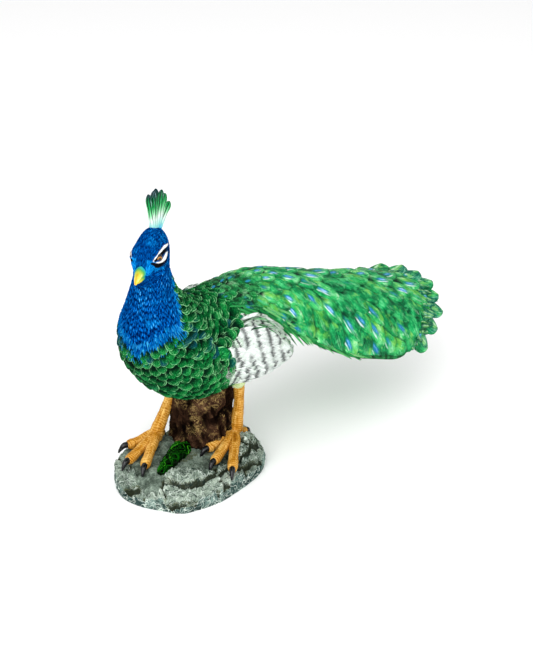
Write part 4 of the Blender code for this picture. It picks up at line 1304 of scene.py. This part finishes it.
def make_eye(side):
    """A flattened ball that looks a little ahead, its pupil at the pole."""
    centre = (EYE_CENTRE + (1.1, -0.7, 0)) * (1 if side == "left" else -1, 1, 1)
    polar = np.linspace(0.02, math.pi / 2 + 0.5, 24)
    turn = np.arange(48) * 2 * math.pi / 48
    p, q = np.meshgrid(polar, turn, indexing="ij")
    out, ahead, up = np.cos(p), np.sin(p) * np.cos(q), np.sin(p) * np.sin(q)
    look = math.radians(34)
    ball = np.stack([out * math.cos(look) + ahead * math.sin(look),
                     ahead * math.cos(look) - out * math.sin(look), up], -1) * (3.7, 4.0, 3.5)
    if side == "right":
        ball[..., 0] *= -1
    fa = coords(np.sin(np.minimum(p, math.pi / 2)), q / TURN, 0)
    fa[p > math.pi / 2] = 1
    return add_piece(f"{side}_eye", [closed_tube(turned(ball + centre, HEAD_TURN), fa)], PAINTS["eye"])


def make_crest():
    """A fan of club-ended feathers, joined at their feet by a thin web."""
    root = np.array([0, *CREST_ROOT], float)
    along = np.array([-0.18, 0.25, 0.62, 0.82, 0.94, 1.0])
    half_width = np.array([2.6, 2.4, 2.8, 3.5, 2.4, 0.7])
    half_depth = np.array([3.2, 2.4, 2.2, 2.5, 1.8, 0.6])
    foot, height = 219, 35

    def crest_part(rings, t, around, random, groove, grown=1.0):
        high = np.clip((rings[..., 2] - foot) / height * grown, 0, 1.1 if random < 0.9 else 1)
        return closed_tube(turned(rings, HEAD_TURN), coords(t, around / TURN, random), coords(groove, high, 0))

    parts = []
    for number, (lean, length, leftward) in enumerate(CREST):
        lean = math.radians(lean)
        run = np.array([0, math.sin(lean), math.cos(lean)])
        path = root + np.array([0, (number - 2.5) * 1.3, 0]) + np.outer(along * length, run)
        path[:, 1] += 3.0 * math.sin(lean) * along ** 2
        path[:, 0] += leftward * along
        rings, angle, t = tube(path, half_width, half_depth, (1.0, 0, 0), 40, 56)
        wave = 0.5 + 0.5 * np.cos(7 * angle + 0.9 * number)
        pinch = 1 - 0.16 * smooth(0.5, 0.75, t) * (1 - wave) * smooth(1, 0.96, t)
        middle = rings.mean(axis=1, keepdims=True)
        rings = middle + (rings - middle) * pinch[..., None]
        parts.append(crest_part(rings, t, angle, number / 6, wave, 1.0 if number < 5 else 1.35))
    path = root + np.outer(np.array([-5.0, 8, 17, 20]), (0, 0.28, 1))
    rings, angle, t = tube(path, (3.0, 5.5, 7.5, 6.0), (1.8, 1.6, 1.4, 0.6), (1.0, 0, 0), 60, 40)
    middle = rings.mean(axis=1, keepdims=True)
    rings = middle + (rings - middle) * (1 + 0.05 * np.sin(18 * angle))[..., None]
    parts.append(crest_part(rings, t, angle, 0.9, 0.8))
    return add_piece("crest", parts, PAINTS["crest"])


def scaled_limb(stations, upward, sides, rows, pitch, groove=True):
    """A limb with overlapping ring scales: its points, paint coordinates and crease."""
    table = np.array(stations, float)
    rings, angle, t = tube(table[:, :3], table[:, 3], table[:, 3], upward, sides, rows)
    length = lengths_along(rings.mean(axis=1))[-1]
    bend = 1.6 * (noise(rings * 0.22, 33) - 0.5)
    line = t * length / pitch + 0.18 * np.sin(angle * 3) + bend
    wave = line - np.floor(line)
    ring = smooth(0.0, 0.25, wave) * smooth(1.0, 0.8, wave)
    crease = np.exp(-(np.sin((angle - 1.0) / 2) / 0.10) ** 2) if groove else 0 * ring
    lift = 0.20 * ring - 0.22 - 0.55 * crease + 0.5 * (noise(rings * 0.5, 35) - 0.5)
    lift = lift * smooth(0, 0.06, t) * smooth(1, 0.94, t)
    rings = rings + ring_normals(rings) * lift[..., None]
    return rings, coords(t, angle / TURN, ring * (1 - 0.6 * crease)), crease


def make_foot(side):
    """One leg with its shaggy thigh, four toes and their claws."""
    foot = FEET[side]
    ankle = np.array([*foot["ankle"], GROUND + ANKLE_HEIGHT])
    hip = np.array(foot["hip"], float)
    shin = ankle + (hip - ankle) * 0.5 + np.array([0, 2, 0])
    heel = ankle - (hip - ankle) * 0.09
    legs, claws = [], []

    def add(stations, upward, sides, rows, pitch, thigh=False, groove=True):
        rings, fa, crease = scaled_limb(stations, upward, sides, rows, pitch, groove)
        pale = smooth(GROUND + 55, GROUND + 62, rings[..., 2]) if thigh else 0
        legs.append(closed_tube(rings, fa, coords(pale, crease, 0)))

    add([(*heel, SHANK_RADIUS + 1.8), (*ankle, SHANK_RADIUS + 1.8), (*shin, SHANK_RADIUS),
         (*hip, SHANK_RADIUS + 1.2)], (0.15, 1, 0.1), 40, 150, 2.1, thigh=True)
    thigh = [ankle + (hip - ankle) * 0.80, hip, hip + np.array([0, 6, 16])]
    girths = (4.7, 9.5, 15)
    rings, angle, _ = tube(thigh, girths, girths, (0, 0, 1), 48, 50)
    shag = noise(rings * (0.9, 0.9, 0.25), 5)
    rings = rings + ring_normals(rings) * (0.9 * (shag - 0.6))[..., None]
    legs.append(closed_tube(rings, coords(1, 1, shag), coords(1, 0, 0 * shag)))
    for number, end in enumerate([*foot["toes"], foot["hind"]]):
        hind = number == 3
        run = np.array([*end, GROUND], float) - ankle
        run[2] = 0
        reach = np.linalg.norm(run)
        run /= reach
        toe_end = reach - CLAW_LENGTH
        size = TOE_RADIUS * (0.72 if hind else 1)
        tip = ankle + run * toe_end
        toe = [(*(ankle - run * (1.6 + 0.3 * number)), size * (1.12 - 0.03 * number))]
        for share, height, girth in ((0.30, 6.4, 1.08), (0.62, 4.8, 0.92), (0.90, 3.6, 1.0), (1.0, 3.0, 0.66)):
            toe.append((*(ankle + run * toe_end * share)[:2], GROUND + height, size * girth))
        add(toe, (0, 0, 1), 32, 90, 1.9, groove=False)
        claw = [(*(tip - run * 2)[:2], GROUND + 3.8, size * 0.62)]
        for share, height, girth in ((0.35, 4.0, 0.55), (0.75, 1.4, 0.34), (1.0, -1.2, 0.14)):
            place = tip + run * CLAW_LENGTH * (0.6 if hind else 1) * share
            claw.append((*place[:2], GROUND + height, size * girth))
        table = np.array(claw, float)
        rings, angle, t = tube(table[:, :3], table[:, 3], table[:, 3] * 1.05, (0, 0, 1), 24, 30)
        claws.append(closed_tube(rings, coords(t, angle / TURN, 0)))
    add_piece(f"{side}_leg", legs, PAINTS["leg"])
    return add_piece(f"{side}_claws", claws, PAINTS["claw"])


def make_stump():
    """Lobed trunk of old wood with ridged bark, knobs, hollows and veins."""
    rows, sides = 155, 240
    at = np.linspace(0, len(STUMP) - 1, rows)
    height, x, y, half_x, half_y = blend_rows(STUMP, at).T[..., None]
    g, n = (np.arange(sides) * 2 * math.pi / sides)[None], at[:, None]
    lobes = 1 + 0.07 * np.sin(3 * g + 0.5 * n) + 0.06 * np.sin(7 * g - n)
    points = coords(x + half_x * lobes * np.cos(g), y + half_y * lobes * np.sin(g), GROUND + height)
    twisted = points + points[..., 2:] * (0.35, 0, 0)
    bark = layered(twisted * (0.16, 0.16, 0.06), 4, 51, 0.55)
    ridged = np.clip(1 - abs(2 * bark - 1) * 3, 0, 1)
    knobs = layered(points * 0.065, 2, 71)
    drift = 3.0 * layered(points * 0.05, 2, 80)[..., None]
    veins = np.clip(1 - abs(2 * layered(points * 0.16 + drift, 3, 82) - 1) * 9, 0, 1)
    deep = smooth(0.44, 0.30, layered(points * (0.085, 0.085, 0.065), 2, 61))
    lift = 2.2 * (bark - 0.5) * 2 + 3.6 * (knobs - 0.5) * 2 - 2.6 * deep + 0.7 * ridged + 0.4 * veins
    fade = smooth(0, 0.05, n / n.max()) * smooth(1, 0.93, n / n.max())
    points = points + ring_normals(points) * (lift * fade)[..., None]
    high = np.clip(0.45 + 1.2 * (bark - 0.5) + 0.6 * (knobs - 0.5) + 0.15 * ridged, 0, 1)
    # The second paint value marks the hollows, which the paint fills with near-black painted shade
    return add_piece("stump", [closed_tube(points, coords(high, deep, veins))], PAINTS["stump"])


def make_moss():
    """A low mound covered by wavy fronds, between the right foot and the stump."""
    path = np.column_stack([MOSS[:, :2], np.full(len(MOSS), GROUND + 0.2)])
    rings, _, _ = tube(path, MOSS[:, 2], MOSS[:, 2] * 0.8, (0, 0, 1), 40, 60)
    lumps = noise(rings * 0.42, 45) - 0.5
    # The mound has no paint values, so it takes the moss's near-black painted shade
    parts = [closed_tube(rings + ring_normals(rings) * (2.4 * lumps)[..., None])]
    table = np.column_stack([path, MOSS[:, 2]])
    for number in range(MOSS_FRONDS):
        where = rng.uniform(0.0, 3.3)
        at = np.clip(where + np.linspace(0, 1.15, 12), 0, 4)
        line = blend_rows(table, at)
        ahead = unit(np.gradient(line[:, :3], axis=0))
        across = np.stack([ahead[:, 1], -ahead[:, 0], 0 * at], -1)
        turn = rng.uniform(-0.15, 3.3) + 0.38 * np.sin(np.linspace(0, rng.uniform(5, 11), 12) + number)
        place = line[:, :3] + across * (np.cos(turn) * line[:, 3] * rng.uniform(0.9, 1.3))[:, None]
        place[:, 2] += np.sin(turn) * line[:, 3] * 0.8 + rng.uniform(0.2, 1.9)
        girth = np.interp(np.linspace(0, 1, 12), (0, 0.15, 0.7, 1), (0.1, 0.62, 0.5, 0.08))
        girth = girth * rng.uniform(0.7, 1.1)
        rings, angle, t = tube(place, girth, girth, (0.1, 0.2, 1), 6, 26)
        # Painted light: each frond is lighter on its upper side and darker on its underside
        up = np.clip(0.55 + 0.5 * np.sin(angle), 0, 1)
        parts.append(closed_tube(rings, coords(up * (0.6 + 0.4 * rng.random()), t, 0)))
    return add_piece("moss", parts, PAINTS["moss"])


def ground_height(x, y, rim, edge_share):
    """(height, raised share, foot of a step) of the rock's top; rim is 1 at its edge and 0 in the middle."""
    height = np.full_like(x, GROUND)
    raised, foot = np.zeros_like(x), np.zeros_like(x)
    for centre_x, centre_y, half_long, half_wide, turn, rise in LEDGES:
        angle = math.radians(turn)
        along = ((x - centre_x) * math.cos(angle) + (y - centre_y) * math.sin(angle)) / half_long
        off = ((y - centre_y) * math.cos(angle) - (x - centre_x) * math.sin(angle)) / half_wide
        warp = 0.9 * (layered(np.stack([x / 11, y / 11, 0 * x], -1), 3, 91) - 0.5)
        inside = (1 + warp - (along ** 4 + off ** 4) ** 0.25) * min(half_long, half_wide) / 10
        step = np.clip(inside * 8.0, 0, 1)
        height += rise * step
        raised = np.maximum(raised, smooth(0, 1, step))
        broken = smooth(0.22, 0.42, noise(np.stack([x / 9, y / 9, 0 * x], -1), 97))
        foot = np.maximum(foot, smooth(-0.24, -0.08, inside) * smooth(0.10, 0.0, inside) * broken)
    shelf = rim + 0.12 * (layered(np.stack([x / 13, y / 13, 0 * x], -1), 3, 95) - 0.5)
    height -= 3.0 * smooth(0.80, 0.825, shelf) * smooth(10, 25, x)
    foot = np.maximum(foot, smooth(0.785, 0.81, shelf) * smooth(0.85, 0.825, shelf) * smooth(10, 25, x))
    fall = np.clip((rim - 0.7) / 0.3, 0, 1) ** 1.3
    return height - fall * GROUND * (1 - edge_share), raised, foot


def make_rock():
    """The broken base: slabs and cracks on its top, chipped walls and a flat underside."""
    sides = 410
    corners = np.column_stack([BASE_OUTLINE, BASE_RIM])
    corners = np.concatenate([corners, corners[:1]])
    edge = blend_rows(corners, np.arange(sides) * len(BASE_OUTLINE) / sides)
    edge, rim_share = edge[:, :2], edge[:, 2]
    edge = (edge - (edge.max(axis=0) + edge.min(axis=0)) / 2) * 2 / np.ptp(edge, axis=0)
    edge = edge * BASE_SIZE / 2
    rims = np.concatenate([np.full(26, 1.0), 1 - np.linspace(0, 1, 100)[1:] ** 1.15 * 0.93])
    wall_part = np.concatenate([np.linspace(0, 1, 26), np.ones(99)])
    outline = np.where(wall_part < 1, np.interp(wall_part, (0, 0.4, 1), (0.972, 0.992, 0.978)), rims * 0.978)
    xy = BASE_CENTRE + edge[None] * outline[:, None, None]
    rim = np.where(wall_part < 1, 1.0, rims)[:, None] + np.zeros(sides)
    top, raised, foot = ground_height(xy[..., 0], xy[..., 1], rim, rim_share)
    spot = np.concatenate([xy, top[..., None] * 1.0], -1)
    broad = layered(spot / 15.0, 3, 101)
    rough = layered(spot / 4.5, 3, 111)
    crack, mark = cracked(spot * (0.13, 0.13, 0.13) + 0.35 * rough[..., None], 121)
    crackle, _ = cracked(spot * 0.42 + 0.5 * rough[..., None], 131)
    # deep marks the cracks and the feet of the slabs, which the paint darkens as shade
    deep = np.maximum(0.6 * smooth(0.07, 0.0, crack) * smooth(0.50, 0.65, broad), foot)
    lines = smooth(0.30, 0.05, abs(crackle - 0.12) * 3)
    level = (top + 2.4 * (broad - 0.5) + 1.1 * (rough - 0.5) * 2 - 2.0 * deep
             + (0.55 * lines + mark - 0.5) * (0.4 + raised))
    terraces = np.floor(level / 2.6 + 0.4 * broad) * 2.6 - 0.4 * broad * 2.6 + 1.3
    level = level + 0.45 * (terraces - level)
    under_feet = smooth(0.62, 0.45, rim)
    calm = 0.6 * under_feet * (1 - raised)
    level = level * (1 - calm) + (GROUND - 0.6 + 0.8 * (rough - 0.5)) * calm
    z = np.where(wall_part[:, None] < 1, wall_part[:, None] * level, level)
    points = np.stack([xy[..., 0], xy[..., 1], z], -1)
    outward = unit(np.concatenate([edge, np.zeros((sides, 1))], 1))[None]
    strata = layered(points * (0.06, 0.06, 0.26), 3, 141)
    on_wall = (wall_part < 1)[:, None]
    rough = np.where(on_wall, layered(points / 4.0, 3, 151), rough)
    lines = np.where(on_wall, 0, lines)
    fading = np.interp(wall_part, (0, 0.15, 1), (0.3, 1, 0.9))[:, None]
    chip = (3.4 * (strata - 0.62) + 1.8 * (rough - 0.55) + 0.3 * lines) * fading
    chip = np.minimum(chip, 0.35) * smooth(0.90, 1.0, rim)
    points = points + outward * chip[..., None]
    points[..., 2] = np.maximum(points[..., 2], 0)
    points[0, :, 2] = 0
    wall = smooth(1.0, 0.85, wall_part)[:, None] + 0 * rim
    # Steep faces are added to the painted shade too
    steep = smooth(0.80, 0.40, abs(ring_normals(points)[..., 2])) * (1 - wall)
    deep = np.maximum(deep, 0.55 * steep)
    ridge = np.clip(0.30 * lines + 0.9 * (rough - 0.35) + 0.35 * (strata - 0.5) * wall + 0.22 * raised, 0, 1)
    olive = np.maximum(smooth(0.50, 0.38, broad) * (1 - raised), smooth(0.0, 0.3, foot)) * (1 - wall)
    fa = coords(ridge, deep * (1 - wall), 0)
    fb = coords(np.maximum(raised, 0.55 * wall) + 0.35 * smooth(0.8, 0.95, rim), wall, olive)
    return add_piece("rock_base", [closed_tube(points, fa, fb)], PAINTS["rock"])


# Stage

LAMPS = (("key", (0.70, -1.15, 1.25), 1.6, 30), ("side", (1.6, 0.1, 1.0), 1.6, 9),
         ("overhead", (-0.1, 0.2, 2.4), 3.6, 10))


def make_stage():
    """A pale floor, white surroundings and three soft lamps."""
    mesh = bpy.data.meshes.new("floor")
    size = 6.0
    corners = [(-size, -size, 0), (size, -size, 0), (size, size, 0), (-size, size, 0)]
    mesh.from_pydata(corners, [], [(0, 1, 2, 3)])
    floor = bpy.data.objects.new("floor", mesh)
    bpy.context.scene.collection.objects.link(floor)
    material = bpy.data.materials.new("floor")
    material.use_nodes = True
    shader = material.node_tree.nodes["Principled BSDF"]
    shader.inputs["Base Color"].default_value = (0.97, 0.97, 0.97, 1)
    shader.inputs["Roughness"].default_value = 0.9
    mesh.materials.append(material)
    world = bpy.data.worlds.new("studio")
    world.use_nodes = True
    world.node_tree.nodes["Background"].inputs[0].default_value = (1, 1, 1, 1)
    world.node_tree.nodes["Background"].inputs[1].default_value = 0.74
    bpy.context.scene.world = world
    for name, place, size, power in LAMPS:
        light = bpy.data.lights.new(name, "AREA")
        light.size = size
        light.energy = power
        lamp = bpy.data.objects.new(name, light)
        bpy.context.scene.collection.objects.link(lamp)
        lamp.location = place
        aim = Vector((0, 0.06, 0.12)) - Vector(place)
        lamp.rotation_euler = aim.to_track_quat("-Z", "Y").to_euler()


def make_camera():
    """The photograph's view: from the front left of the bird, looking down."""
    azimuth, elevation, distance = math.radians(48), math.radians(28), 1.3
    right = np.array([math.cos(azimuth), math.sin(azimuth), 0])
    back = np.array([math.sin(azimuth) * math.cos(elevation), -math.cos(azimuth) * math.cos(elevation),
                     math.sin(elevation)])
    up = np.cross(back, right)
    place = back * distance + right * 0.0628 + up * 0.1216
    data = bpy.data.cameras.new("camera")
    data.sensor_fit = "VERTICAL"
    data.sensor_height = 24.0
    data.lens = 59.816
    camera = bpy.data.objects.new("camera", data)
    bpy.context.scene.collection.objects.link(camera)
    rows = np.column_stack([right, up, back, place])
    camera.matrix_world = Matrix([*rows.tolist(), [0, 0, 0, 1]])
    bpy.context.scene.camera = camera


PAINTS = {
    "green": green_feathers(), "train": train_feathers(), "blue": blue_plumage(), "locks": fringe_locks(),
    "barred": barred_feathers(), "beak": beak_paint(), "eye": eye_paint(), "crest": crest_paint(),
    "leg": leg_paint(), "claw": claw_paint(), "stump": stump_paint(), "moss": moss_paint(),
    "rock": rock_paint(),
}
make_stage()
make_camera()
make_body()
make_neck()
make_locks()
make_train()
make_tips()
for side in ("left", "right"):
    make_wing(side)
    make_eye(side)
    make_foot(side)
make_beak()
make_crest()
make_stump()
make_moss()
make_rock()

bpy.context.scene.view_settings.view_transform = "Standard"
